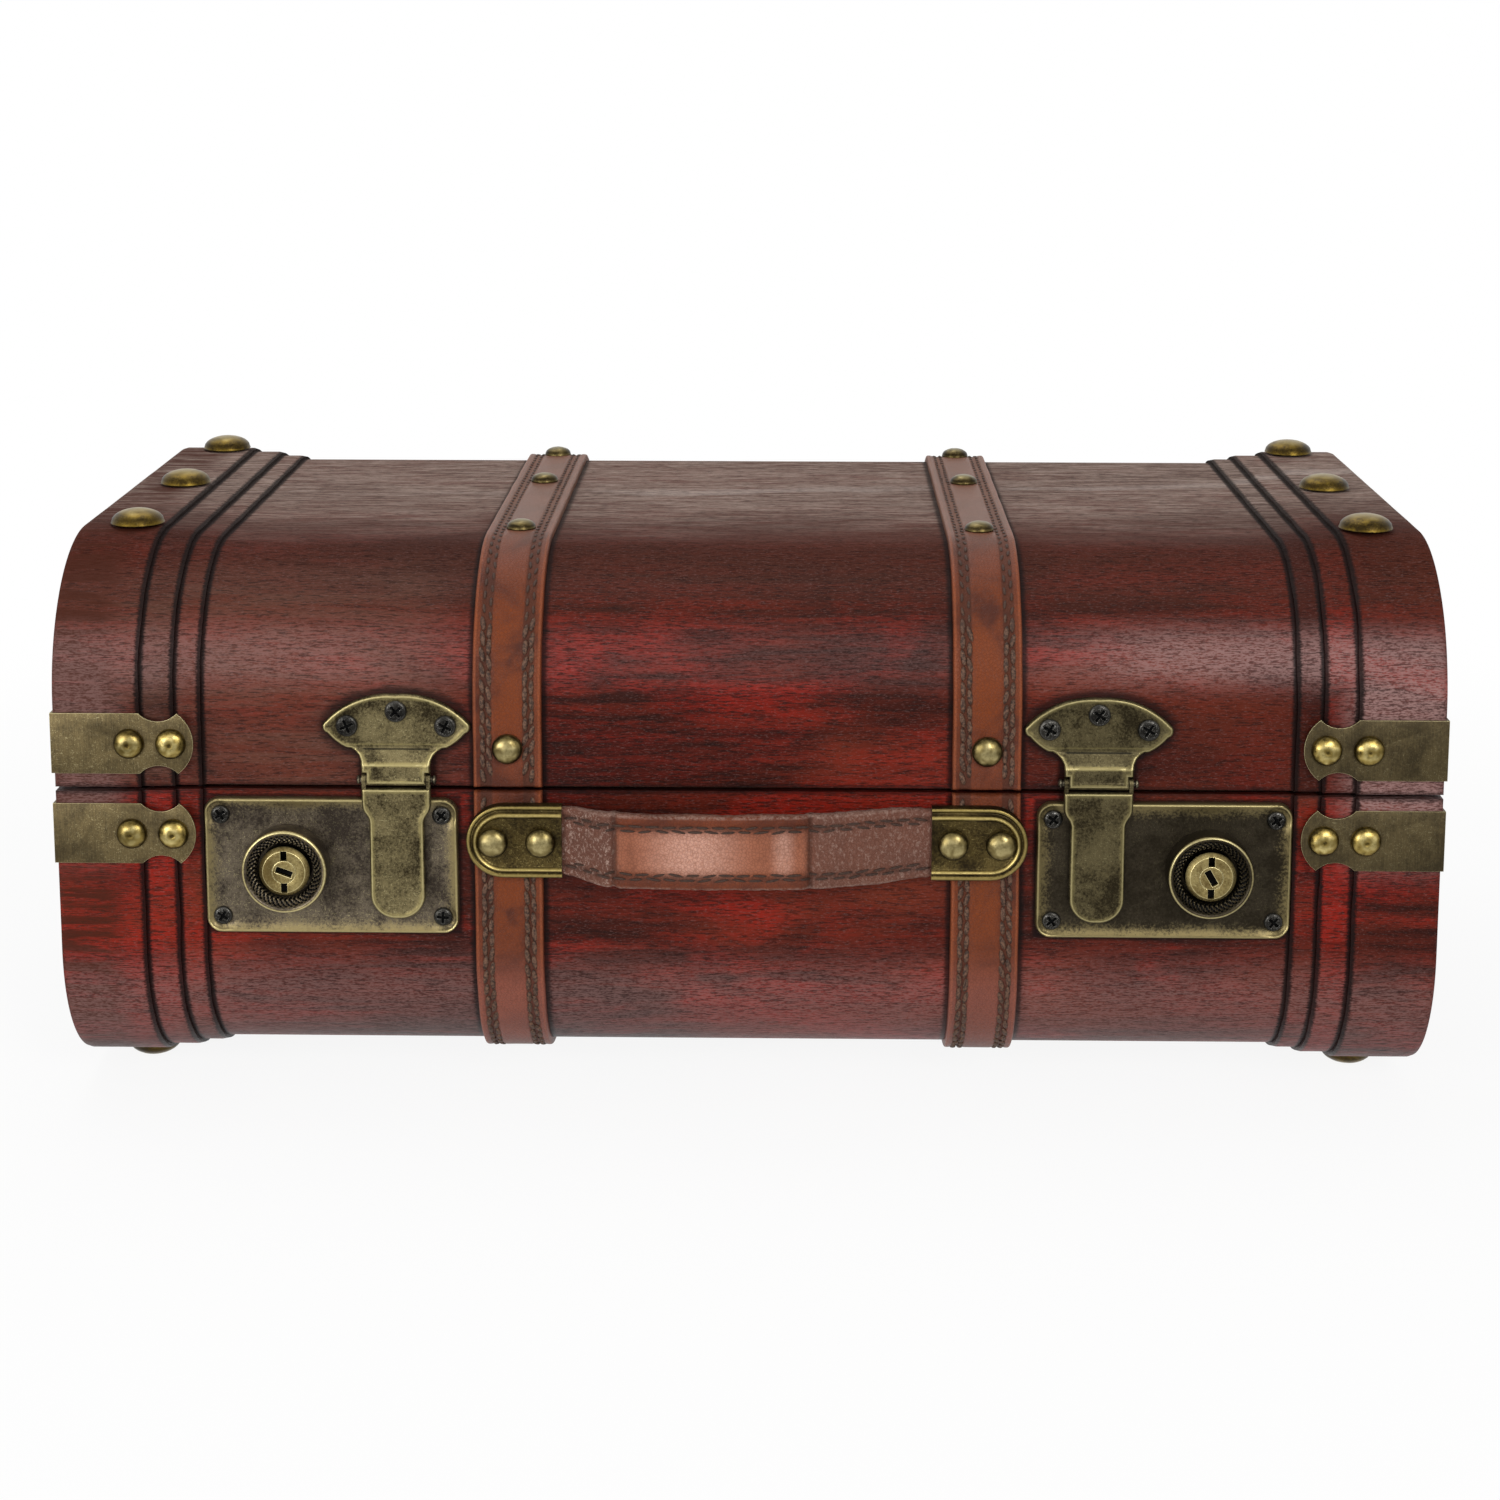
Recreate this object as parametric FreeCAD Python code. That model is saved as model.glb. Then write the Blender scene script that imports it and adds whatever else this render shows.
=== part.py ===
import FreeCAD, Part
import math
import os

# A wooden travelling chest that lies flat: a deep base and a shallower lid, both bent from thin
# board round end boards, with three stepped bands at each end, two leather straps, a leather
# handle, two locks with hasps and a pair of hinges behind. Millimetres, +Z up, +X to the right.
# The front is -Y. The origin is the bottom centre of the whole, on the plane that the feet touch.

# Driving sizes of the case
case_length = 450.0
case_depth = 250.0
base_height = 104.3
lid_height = 78.0
corner_radius = 50.0
seam_gap = 1.4

# Boards, bands and lining
skin_thickness = 4.0
band_thickness = 1.5
outer_band_width = 28.0
middle_band_step = 10.8
inner_band_step = 8.6
end_board_thickness = 10.0
lining_thickness = 1.0
cut_overrun = 5.0

# Leather straps
strap_width = 22.4
strap_thickness = 2.5
strap_lock_gap = 5.3
strap_tack_depths = (57.0, 146.0, 205.0)
strap_tack_rise = 13.7

# Dome nails on the lid's outer bands, and the same nails as feet under the base
dome_radius = 9.25
dome_height = 5.5
dome_setback = 50.0
dome_end_gap = 18.0
foot_flat_depth = 0.3
dome_shank_radius = 1.5

# Small dome nails
tack_radius = 4.8
tack_height = 3.0
tack_shank_radius = 0.9
tack_shank_length = 7.0
shank_clearance = 0.05

# Brass corner plates
corner_plate_thickness = 0.8
corner_plate_height = 20.1
corner_plate_reach = 45.6
corner_plate_neck = 28.0
corner_plate_horn = 40.5
corner_plate_scallop = 2.7
corner_tack_places = (24.7, 38.3)
lid_plate_rise = 15.6
base_plate_drop = 14.6

# Lock plates and the cases behind them
lock_band_gap = 0.3
lock_drop = 26.2
lock_length = 83.0
lock_height = 45.8
lock_corner_radius = 5.0
lock_pan_thickness = 1.5
lock_rim_width = 2.0
lock_rim_height = 2.6
lock_rim_round = 0.7
lock_screw_spread = 72.4
lock_screw_rise = 34.4
lock_case_length = 60.0
lock_case_height = 34.0
lock_case_depth = 12.0
lock_case_wall = 0.8
case_clearance = 0.2

# Lock knobs, cylinders and key plugs
knob_offset = 14.5
knob_radius = 14.0
knob_height = 7.5
knob_bore_radius = 9.3
knob_floor = 1.2
knob_bevel = 2.6
knob_edge_round = 0.8
knob_stem_radius = 4.6
knob_stem_length = 6.0
knob_travel = 4.0
knob_clearance = 0.3
cylinder_radius = 8.3
cylinder_recess = 0.2
cylinder_edge_round = 1.4
keyway_width = 2.1
keyway_reach = 7.0
keyway_depth = 2.4
plug_radius = 3.8
plug_clearance = 0.08
plug_depth = 3.4
plug_slot_width = 2.2
plug_slot_length = 5.6
plug_slot_depth = 2.2
left_slot_turn = -20.0
right_slot_turn = -60.0

# Hasps: a bracket on the lid, a tongue over the lock plate, and the pin between them
hasp_inset = 21.9
bracket_thickness = 2.0
bracket_stand = 5.0
bracket_top = 31.4
bracket_half_width = 24.0
bracket_tip_z = 21.0
bracket_tip_round = 2.6
bracket_waist_z = 13.6
bracket_waist_half = 16.5
bracket_neck_half = 11.2
bracket_shoulder_half = 14.0
bracket_shoulder_z = 29.0
bracket_screw_spread = 32.0
bracket_side_screw_z = 21.1
bracket_top_screw_z = 26.0
pin_rise = 3.4
roll_radius = 2.2
roll_half = 9.6
hasp_pin_radius = 1.0
hasp_pin_half = 14.0
pin_clearance = 0.05
ear_clearance = 0.3
ear_thickness = 1.3
tongue_top_drop = 2.6
tongue_length = 43.8
tongue_half = 8.9
tongue_step_z = 5.6
tongue_step_height = 5.4
tongue_end_round = 7.5

# Handle: brass caps, rivets and the leather band
cap_inset = 17.8
cap_length = 31.2
cap_height = 24.2
cap_drop = 16.3
cap_stand = 5.5
cap_wall = 1.1
cap_rim_width = 3.8
cap_pan_depth = 0.9
cap_edge_round = 0.8
rivet_places = (6.9, 22.4)
rivet_radius = 4.5
rivet_height = 2.9
rivet_shank_radius = 1.6
handle_height = 23.8
handle_thickness = 4.0
handle_bulge = 10.0
handle_tab_height = 21.4
handle_tab_thickness = 3.0
handle_tab_reach = 27.0
handle_tab_gap = 0.15
handle_rise_share = 0.15
handle_fall_share = 0.34

# Hinges at the back
hinge_end_gap = 95.0
hinge_length = 38.0
hinge_leaf_height = 15.0
hinge_leaf_thickness = 1.2
hinge_knuckle_radius = 2.2
hinge_pin_radius = 1.0
hinge_clearance = 0.3
hinge_joint_clearance = 0.2
hinge_middle_share = 0.34
hinge_screw_spread = 24.0
hinge_screw_drop = 9.5
lid_opening = 105.0

# Cross-head screws
lock_screw_radius = 3.1
bracket_screw_radius = 3.6
hinge_screw_radius = 2.3
screw_head_height = 0.9
screw_shank_radius = 1.1
screw_shank_length = 5.2
cross_width = 0.8
cross_share = 0.62
cross_depth = 0.6

# Places that follow from the sizes above
skin_inset = 3 * band_thickness
board_inset = skin_inset + skin_thickness
foot_stand = dome_height - foot_flat_depth
parting_z = foot_stand + base_height
handle_reach = strap_thickness + handle_tab_gap + handle_bulge + handle_thickness - skin_inset
rear_reach = corner_plate_thickness + tack_height
front_y = handle_reach - (handle_reach + case_depth + rear_reach) / 2
rear_y = front_y + case_depth
middle_y = (front_y + rear_y) / 2
end_x = case_length / 2
inner_band_x = end_x - outer_band_width - middle_band_step - inner_band_step
lock_offset = inner_band_x - lock_band_gap - lock_length / 2
hasp_offset = lock_offset - hasp_inset
strap_offset = lock_offset - lock_length / 2 - strap_lock_gap - strap_width / 2
cap_inner_x = strap_offset - cap_inset
hinge_offset = end_x - hinge_end_gap
skin_front_y = front_y + skin_inset
skin_rear_y = rear_y - skin_inset
hinge_y = skin_rear_y + hinge_knuckle_radius + hinge_clearance
lock_z = parting_z - lock_drop
bracket_neck_z = bracket_waist_z - bracket_waist_half + bracket_neck_half
cap_z = parting_z - cap_drop
half_sizes = {"base": (-1, base_height), "lid": (1, lid_height)}
sides = {"left": -1, "right": 1}
forward = FreeCAD.Vector(0, -1, 0)
backward = FreeCAD.Vector(0, 1, 0)
upward = FreeCAD.Vector(0, 0, 1)
downward = FreeCAD.Vector(0, 0, -1)
rightward = FreeCAD.Vector(1, 0, 0)
leftward = FreeCAD.Vector(-1, 0, 0)


def point(x, y, z):
    return FreeCAD.Vector(x, y, z)


def closed_face(start, steps):
    """Face inside an outline: each step is an end point, or a point on the way and an end point."""
    edges = []
    here = start
    for step in steps:
        if len(step) == 1:
            edges.append(Part.makeLine(here, step[0]))
        else:
            edges.append(Part.Arc(here, step[0], step[1]).toShape())
        here = step[-1]
    if here.distanceToPoint(start) > 1e-7:
        edges.append(Part.makeLine(here, start))
    return Part.Face(Part.Wire(edges))


def cylinder(radius, length, start, direction):
    return Part.makeCylinder(radius, length, start, direction)


def block(x_low, x_high, y_low, y_high, z_low, z_high):
    corner = point(x_low, y_low, z_low)
    return Part.makeBox(x_high - x_low, y_high - y_low, z_high - z_low, corner)


def mirror_x(shape):
    return shape.mirror(point(0, 0, 0), rightward)


def mirror_y(shape):
    return shape.mirror(point(0, middle_y, 0), backward)


def placed(shape, place, direction, turn=0):
    """Copy of a shape made along +Z, set down at a place and pointing along a direction."""
    copy = shape.copy()
    spin = FreeCAD.Rotation(upward, turn)
    copy.Placement = FreeCAD.Placement(place, FreeCAD.Rotation(upward, direction).multiply(spin))
    return copy


# Case: bent boards, end boards, bands, linings and straps

def half_face(half, inset, x, overrun=0):
    """Cross-section of the base or the lid inside a surface that lies inset below the outer bands."""
    sign, height = half_sizes[half]
    rim_z = parting_z + sign * (seam_gap / 2 - overrun)
    bend_z = parting_z + sign * (height - corner_radius)
    far_z = parting_z + sign * (height - inset)
    radius = corner_radius - inset
    slant = radius * math.sqrt(0.5)
    near = front_y + corner_radius
    back = rear_y - corner_radius
    steps = [
        (point(x, near - radius, bend_z),),
        (point(x, near - slant, bend_z + sign * slant), point(x, near, far_z)),
        (point(x, back, far_z),),
        (point(x, back + slant, bend_z + sign * slant), point(x, back + radius, bend_z)),
        (point(x, back + radius, rim_z),),
    ]
    return closed_face(point(x, near - radius, rim_z), steps)


def wrap(half, inset, thickness, x_low, x_high):
    """Sheet bent round the case from the front rim to the rear rim."""
    length = point(x_high - x_low, 0, 0)
    outer = half_face(half, inset, x_low).extrude(length)
    inner = half_face(half, inset + thickness, x_low, cut_overrun).extrude(length)
    return outer.cut(inner)


def hinge_relief():
    """Round clearance that lets the bands turn past each other behind the hinge axis."""
    reach = rear_y - hinge_y
    radius = reach / math.cos(math.radians(lid_opening / 2)) + hinge_clearance
    return cylinder(radius, case_length, point(-end_x, hinge_y, parting_z), rightward)


def band(half, side, order):
    """One of the three stepped bands at an end: order 0 is the outer one."""
    widths = (0, middle_band_step, middle_band_step + inner_band_step)
    width = outer_band_width + widths[order]
    shape = wrap(half, order * band_thickness, band_thickness, end_x - width, end_x)
    shape = shape.cut(hinge_relief())
    return shape if side == "right" else mirror_x(shape)


def end_board(half, side):
    inner_x = end_x - end_board_thickness
    shape = half_face(half, board_inset, inner_x).extrude(point(end_board_thickness, 0, 0))
    return shape if side == "right" else mirror_x(shape)


def lining(half):
    """Thin tray that lines the inside of one half."""
    reach = end_x - end_board_thickness
    inner_reach = reach - lining_thickness
    outer = half_face(half, board_inset, -reach).extrude(point(2 * reach, 0, 0))
    inner = half_face(half, board_inset + lining_thickness, -inner_reach, cut_overrun)
    return outer.cut(inner.extrude(point(2 * inner_reach, 0, 0)))


def strap(half, side):
    x_low = strap_offset - strap_width / 2
    shape = wrap(half, skin_inset - strap_thickness, strap_thickness, x_low, x_low + strap_width)
    return shape if side == "right" else mirror_x(shape)


# Fasteners, each made once along +Z with its seat at the origin

def dome_nail(radius, height, shank_radius, shank_length, flat=0):
    """Round-headed nail, worn flat at the crown by the given depth."""
    ball = (radius ** 2 + height ** 2) / (2 * height)
    middle = height - ball
    crown_z = height - flat
    crown_r = math.sqrt(ball ** 2 - (crown_z - middle) ** 2)
    half_z = crown_z / 2
    half_r = math.sqrt(ball ** 2 - (half_z - middle) ** 2)
    steps = [
        (point(shank_radius, 0, -shank_length),),
        (point(shank_radius, 0, 0),),
        (point(radius, 0, 0),),
        (point(half_r, 0, half_z), point(crown_r, 0, crown_z)),
    ]
    if flat:
        steps.append((point(0, 0, crown_z),))
    face = closed_face(point(0, 0, -shank_length), steps)
    return face.revolve(point(0, 0, 0), upward, 360)


def screw(radius):
    """Low round-headed screw with a cross recess."""
    shape = dome_nail(radius, screw_head_height, screw_shank_radius, screw_shank_length)
    arm = radius * cross_share
    floor = screw_head_height - cross_depth
    half = cross_width / 2
    one = block(-arm, arm, -half, half, floor, screw_head_height)
    other = block(-half, half, -arm, arm, floor, screw_head_height)
    return shape.cut(one.fuse(other))


def shank_hole(place, direction, radius, length):
    """Bore for a shank, from a little outside the seat to the shank's end."""
    start = place + direction * cut_overrun
    return cylinder(radius + shank_clearance, length + cut_overrun, start, direction * -1)


def dome_places(half):
    """Seats of the large dome nails, on the outer bands of the lid or under those of the base."""
    sign, height = half_sizes[half]
    x = end_x - dome_end_gap
    z = parting_z + sign * height
    depths = (front_y + dome_setback, middle_y, rear_y - dome_setback)
    return [point(side * x, y, z) for side in (-1, 1) for y in depths]


def corner_tack_seats(half):
    """Seats and directions of the nails in the corner plates."""
    z = parting_z + (lid_plate_rise if half == "lid" else -base_plate_drop)
    face_y = front_y - corner_plate_thickness
    face_x = end_x + corner_plate_thickness
    seats = []
    for side in (-1, 1):
        for reach in corner_tack_places:
            x = side * (end_x - reach)
            seats.append((point(x, face_y, z), forward))
            seats.append((point(x, 2 * middle_y - face_y, z), backward))
            out = point(side, 0, 0)
            seats.append((point(side * face_x, front_y + reach, z), out))
            seats.append((point(side * face_x, rear_y - reach, z), out))
    return seats


def strap_tack_seats():
    """Seats and directions of the nails in the lid's straps: one in front and three on top."""
    face_y = skin_front_y - strap_thickness
    face_z = parting_z + lid_height - skin_inset + strap_thickness
    seats = []
    for side in (-1, 1):
        x = side * strap_offset
        seats.append((point(x, face_y, parting_z + strap_tack_rise), forward))
        for depth in strap_tack_depths:
            seats.append(bent_seat(x, front_y + depth, face_z))
    return seats


def bent_seat(x, y, face_z):
    """Seat on the strap's top at a depth, tilted where the strap already bends down."""
    inset = skin_inset - strap_thickness
    radius = corner_radius - inset
    centre_z = parting_z + lid_height - corner_radius
    start_y = front_y + corner_radius
    end_y = rear_y - corner_radius
    if start_y <= y <= end_y:
        return point(x, y, face_z), upward
    centre_y = start_y if y < start_y else end_y
    angle = (y - centre_y) / radius
    out = point(0, math.sin(angle), math.cos(angle))
    return point(x, centre_y, centre_z) + out * radius, out


def lock_screw_seats():
    y = skin_front_y - lock_pan_thickness
    seats = []
    for side in (-1, 1):
        for across in (-1, 1):
            for up in (-1, 1):
                x = side * lock_offset + across * lock_screw_spread / 2
                seats.append((point(x, y, lock_z + up * lock_screw_rise / 2), forward))
    return seats


def bracket_screw_seats():
    y = skin_front_y - bracket_thickness
    seats = []
    for side in (-1, 1):
        x = side * hasp_offset
        for across in (-1, 1):
            z = parting_z + bracket_side_screw_z
            seats.append((point(x + across * bracket_screw_spread / 2, y, z), forward))
        seats.append((point(x, y, parting_z + bracket_top_screw_z), forward))
    return seats


def hinge_screw_seats(half):
    sign = half_sizes[half][0]
    y = skin_rear_y + hinge_leaf_thickness
    z = parting_z + sign * hinge_screw_drop
    seats = []
    for side in (-1, 1):
        for across in (-1, 1):
            x = side * hinge_offset + across * hinge_screw_spread / 2
            seats.append((point(x, y, z), backward))
    return seats


def rivet_seats():
    y = skin_front_y - strap_thickness - cap_stand + cap_pan_depth
    return [(point(side * (cap_inner_x + reach), y, cap_z), forward)
            for side in (-1, 1) for reach in rivet_places]


def rivet_shank():
    """From the rivet's seat to the inner face of the bent board."""
    return cap_stand - cap_pan_depth + strap_thickness + skin_thickness


def dome_shank():
    return skin_inset + skin_thickness / 2


def set_fasteners(shape, seats):
    return Part.makeCompound([placed(shape, place, out) for place, out in seats])


def bores(half):
    """All the shank bores of one half, as one cutting tool."""
    out = upward if half == "lid" else downward
    tools = [shank_hole(place, out, dome_shank_radius, dome_shank()) for place in dome_places(half)]
    tacks = corner_tack_seats(half)
    screws = hinge_screw_seats(half)
    if half == "lid":
        tacks += strap_tack_seats()
        screws += bracket_screw_seats()
    else:
        screws += lock_screw_seats()
        for place, way in rivet_seats():
            tools.append(shank_hole(place, way, rivet_shank_radius, rivet_shank()))
    tools += [shank_hole(place, way, tack_shank_radius, tack_shank_length) for place, way in tacks]
    tools += [shank_hole(place, way, screw_shank_radius, screw_shank_length) for place, way in screws]
    return Part.makeCompound(tools)


# Brass corner plates

def corner_leg(start):
    """Outline of one leg, drawn from the corner along +X and standing along Z about the origin."""
    half = corner_plate_height / 2
    neck = corner_plate_neck
    horn = corner_plate_horn
    dip = half - corner_plate_scallop
    middle = (neck + horn) / 2
    steps = [
        (point(neck, 0, -half),),
        (point(middle, 0, -dip), point(horn, 0, -half)),
        (point(corner_plate_reach, 0, 0), point(horn, 0, half)),
        (point(middle, 0, dip), point(neck, 0, half)),
        (point(start, 0, half),),
    ]
    return closed_face(point(start, 0, -half), steps)


def corner_plates(half):
    """Four angle plates, one round each corner of a half."""
    z = parting_z + (lid_plate_rise if half == "lid" else -base_plate_drop)
    front_leg = corner_leg(-corner_plate_thickness).extrude(forward * corner_plate_thickness)
    side_leg = corner_leg(0).extrude(forward * -corner_plate_thickness)
    side_leg.rotate(point(0, 0, 0), upward, 90)
    one = front_leg.fuse(side_leg).removeSplitter()
    one.translate(point(-end_x, front_y, z))
    pair = [one, mirror_x(one)]
    return Part.makeCompound(pair + [mirror_y(plate) for plate in pair])


# Locks

def rounded_rectangle(length, height, radius):
    """Face in the XZ plane about the origin."""
    x = length / 2
    z = height / 2
    slant = radius * (1 - math.sqrt(0.5))
    steps = []
    for sx, sz in ((1, -1), (1, 1), (-1, 1), (-1, -1)):
        along = point(sx * x, 0, sz * (z - radius))
        across = point(sx * (x - radius), 0, sz * z)
        first, last = (across, along) if sx * sz < 0 else (along, across)
        steps.append((first,))
        steps.append((point(sx * (x - slant), 0, sz * (z - slant)), last))
    return closed_face(steps.pop(0)[0], steps)


def slot_face(radius, travel):
    """Round-ended slot in the XZ plane, from the origin along +X."""
    steps = [
        (point(travel, 0, -radius),),
        (point(travel + radius, 0, 0), point(travel, 0, radius)),
        (point(0, 0, radius),),
        (point(-radius, 0, 0), point(0, 0, -radius)),
    ]
    return closed_face(point(0, 0, -radius), steps)


def edges_at(shape, y):
    """Edges that lie wholly in one plane across Y."""
    tiny = 1e-4
    return [edge for edge in shape.Edges
            if abs(edge.BoundBox.YMin - y) < tiny and abs(edge.BoundBox.YMax - y) < tiny]


def lock_plate(side):
    """Shallow tray with a rolled rim and a slot for the knob's stem."""
    face = rounded_rectangle(lock_length, lock_height, lock_corner_radius)
    shape = face.extrude(forward * lock_rim_height)
    pan = rounded_rectangle(lock_length - 2 * lock_rim_width, lock_height - 2 * lock_rim_width,
                            lock_corner_radius - lock_rim_width)
    pan.translate(forward * lock_pan_thickness)
    shape = shape.cut(pan.extrude(forward * lock_rim_height))
    shape = shape.makeFillet(lock_rim_round, edges_at(shape, -lock_rim_height))
    slot = slot_face(knob_stem_radius + knob_clearance, knob_travel)
    slot.translate(point(knob_offset, cut_overrun, 0))
    shape = shape.cut(slot.extrude(forward * 2 * cut_overrun))
    shape = seated_lock(shape, side)
    tools = [shank_hole(place, way, screw_shank_radius, screw_shank_length)
             for place, way in lock_screw_seats()]
    return shape.cut(Part.makeCompound(tools))


def seated_lock(shape, side):
    """Moves a right-hand lock piece to its place on the base, mirrored for the left."""
    shape.translate(point(lock_offset, skin_front_y, lock_z))
    return shape if side == "right" else mirror_x(shape)


def lock_case_block(growth):
    half = lock_case_length / 2 + growth
    rise = lock_case_height / 2 + growth
    return block(-half, half, 0, lock_case_depth + growth, -rise, rise)


def lock_case(side):
    """Sheet box behind the plate that holds the works."""
    inner = block(-lock_case_length / 2 + lock_case_wall, lock_case_length / 2 - lock_case_wall,
                  -cut_overrun, lock_case_depth - lock_case_wall,
                  -lock_case_height / 2 + lock_case_wall, lock_case_height / 2 - lock_case_wall)
    return seated_lock(lock_case_block(0).cut(inner), side)


def lock_windows():
    """Openings in the board and its lining for the lock cases."""
    return Part.makeCompound([seated_lock(lock_case_block(case_clearance), side) for side in sides])


def knob_seat_y():
    return skin_front_y - lock_pan_thickness - knob_clearance


def seated_knob(shape, side):
    """Moves a knob piece, made along +Z, to its lock."""
    x = sides[side] * (lock_offset + knob_offset)
    return placed(shape, point(x, knob_seat_y(), lock_z), forward)


def knob_ring(side):
    """Ring with a sloping inner face, a floor and a stem through the plate."""
    top = knob_height
    steps = [
        (point(knob_stem_radius, 0, -knob_stem_length),),
        (point(knob_stem_radius, 0, 0),),
        (point(knob_radius, 0, 0),),
        (point(knob_radius, 0, top - knob_edge_round),),
        (point(knob_radius - knob_edge_round, 0, top),),
        (point(knob_radius - 2 * knob_edge_round, 0, top),),
        (point(knob_bore_radius, 0, top - knob_bevel),),
        (point(knob_bore_radius, 0, knob_floor),),
        (point(0, 0, knob_floor),),
    ]
    face = closed_face(point(0, 0, -knob_stem_length), steps)
    return seated_knob(face.revolve(point(0, 0, 0), upward, 360), side)


def lock_cylinder(side):
    """Cylinder inside the ring, with a keyway above and below the bore of its plug."""
    top = knob_height - cylinder_recess
    steps = [
        (point(cylinder_radius, 0, knob_floor),),
        (point(cylinder_radius, 0, top - cylinder_edge_round),),
        (point(cylinder_radius - cylinder_edge_round, 0, top),),
        (point(0, 0, top),),
    ]
    face = closed_face(point(0, 0, knob_floor), steps)
    shape = face.revolve(point(0, 0, 0), upward, 360)
    bore = cylinder(plug_radius + plug_clearance, plug_depth + cut_overrun,
                    point(0, 0, top - plug_depth - plug_clearance), upward)
    half = keyway_width / 2
    keyway = block(-half, half, -keyway_reach, keyway_reach, top - keyway_depth, top + cut_overrun)
    return seated_knob(shape.cut(bore.fuse(keyway)), side)


def key_plug(side):
    """Small plug that turns with the key."""
    top = knob_height - cylinder_recess
    shape = cylinder(plug_radius, plug_depth, point(0, 0, top - plug_depth), upward)
    half = plug_slot_width / 2
    reach = plug_slot_length / 2
    slot = block(-reach, reach, -half, half, top - plug_slot_depth, top + cut_overrun)
    slot.rotate(point(0, 0, 0), upward, left_slot_turn if side == "left" else right_slot_turn)
    return seated_knob(shape.cut(slot), side)


# Hasps

def seated_hasp(shape, side):
    """Moves a hasp piece, drawn about X 0 on the parting plane and the board's front, to its lock."""
    shape.translate(point(sides[side] * hasp_offset, skin_front_y, parting_z))
    return shape


def bracket_outline():
    """Crescent head over a narrower neck, in the XZ plane."""
    tip_x = bracket_half_width
    under_x = tip_x - bracket_tip_round
    over_z = bracket_tip_z + bracket_tip_round / 2
    under_z = bracket_tip_z - bracket_tip_round
    hollow = bracket_waist_half - bracket_neck_half
    hollow_x = bracket_waist_half - hollow * math.sqrt(0.5)
    hollow_z = bracket_neck_z + hollow * math.sqrt(0.5)
    neck = bracket_neck_half
    bottom = pin_rise + roll_radius + ear_clearance
    steps = [
        (point(neck, 0, bracket_neck_z),),
        (point(hollow_x, 0, hollow_z), point(bracket_waist_half, 0, bracket_waist_z)),
        (point(under_x, 0, under_z),),
        (point(tip_x, 0, bracket_tip_z), point(tip_x - bracket_tip_round / 4, 0, over_z)),
        (point(bracket_shoulder_half, 0, bracket_shoulder_z), point(0, 0, bracket_top)),
        (point(-bracket_shoulder_half, 0, bracket_shoulder_z),
         point(bracket_tip_round / 4 - tip_x, 0, over_z)),
        (point(-tip_x, 0, bracket_tip_z), point(-under_x, 0, under_z)),
        (point(-bracket_waist_half, 0, bracket_waist_z),),
        (point(-hollow_x, 0, hollow_z), point(-neck, 0, bracket_neck_z)),
        (point(-neck, 0, bottom),),
    ]
    return closed_face(point(neck, 0, bottom), steps)


def bracket_profile():
    """Side view of the bracket, flat on the board above and standing off at the neck."""
    x = -bracket_half_width
    outer = -bracket_stand
    inner = outer + bracket_thickness
    steps = [
        (point(x, -bracket_thickness, bracket_top),),
        (point(x, -bracket_thickness, bracket_waist_z),),
        (point(x, outer, bracket_neck_z),),
        (point(x, outer, pin_rise),),
        (point(x, inner, pin_rise),),
        (point(x, inner, bracket_neck_z - bracket_thickness / 2),),
        (point(x, 0, bracket_waist_z - bracket_thickness),),
    ]
    return closed_face(point(x, 0, bracket_top), steps)


def hasp_bracket(side):
    """Bracket with the roll that holds the pin."""
    outline = bracket_outline()
    outline.translate(point(0, cut_overrun, 0))
    head = outline.extrude(forward * (bracket_stand + 2 * cut_overrun))
    strip = bracket_profile().extrude(point(2 * bracket_half_width, 0, 0))
    axis_y = roll_radius - bracket_stand
    roll = cylinder(roll_radius, 2 * roll_half, point(-roll_half, axis_y, pin_rise), rightward)
    web = block(-roll_half, roll_half, -bracket_stand, bracket_thickness - bracket_stand,
                pin_rise, bracket_neck_z)
    shape = head.common(strip).fuse([roll, web]).removeSplitter()
    shape = shape.cut(hasp_pin_bore(axis_y))
    shape = seated_hasp(shape, side)
    tools = [shank_hole(place, way, screw_shank_radius, screw_shank_length)
             for place, way in bracket_screw_seats()]
    return shape.cut(Part.makeCompound(tools))


def hasp_pin_bore(axis_y):
    half = hasp_pin_half + cut_overrun
    return cylinder(hasp_pin_radius + pin_clearance, 2 * half, point(-half, axis_y, pin_rise), rightward)


def hasp_pins():
    pins = []
    for side in sides:
        pin = cylinder(hasp_pin_radius, 2 * hasp_pin_half,
                       point(-hasp_pin_half, roll_radius - bracket_stand, pin_rise), rightward)
        pins.append(seated_hasp(pin, side))
    return Part.makeCompound(pins)


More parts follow.
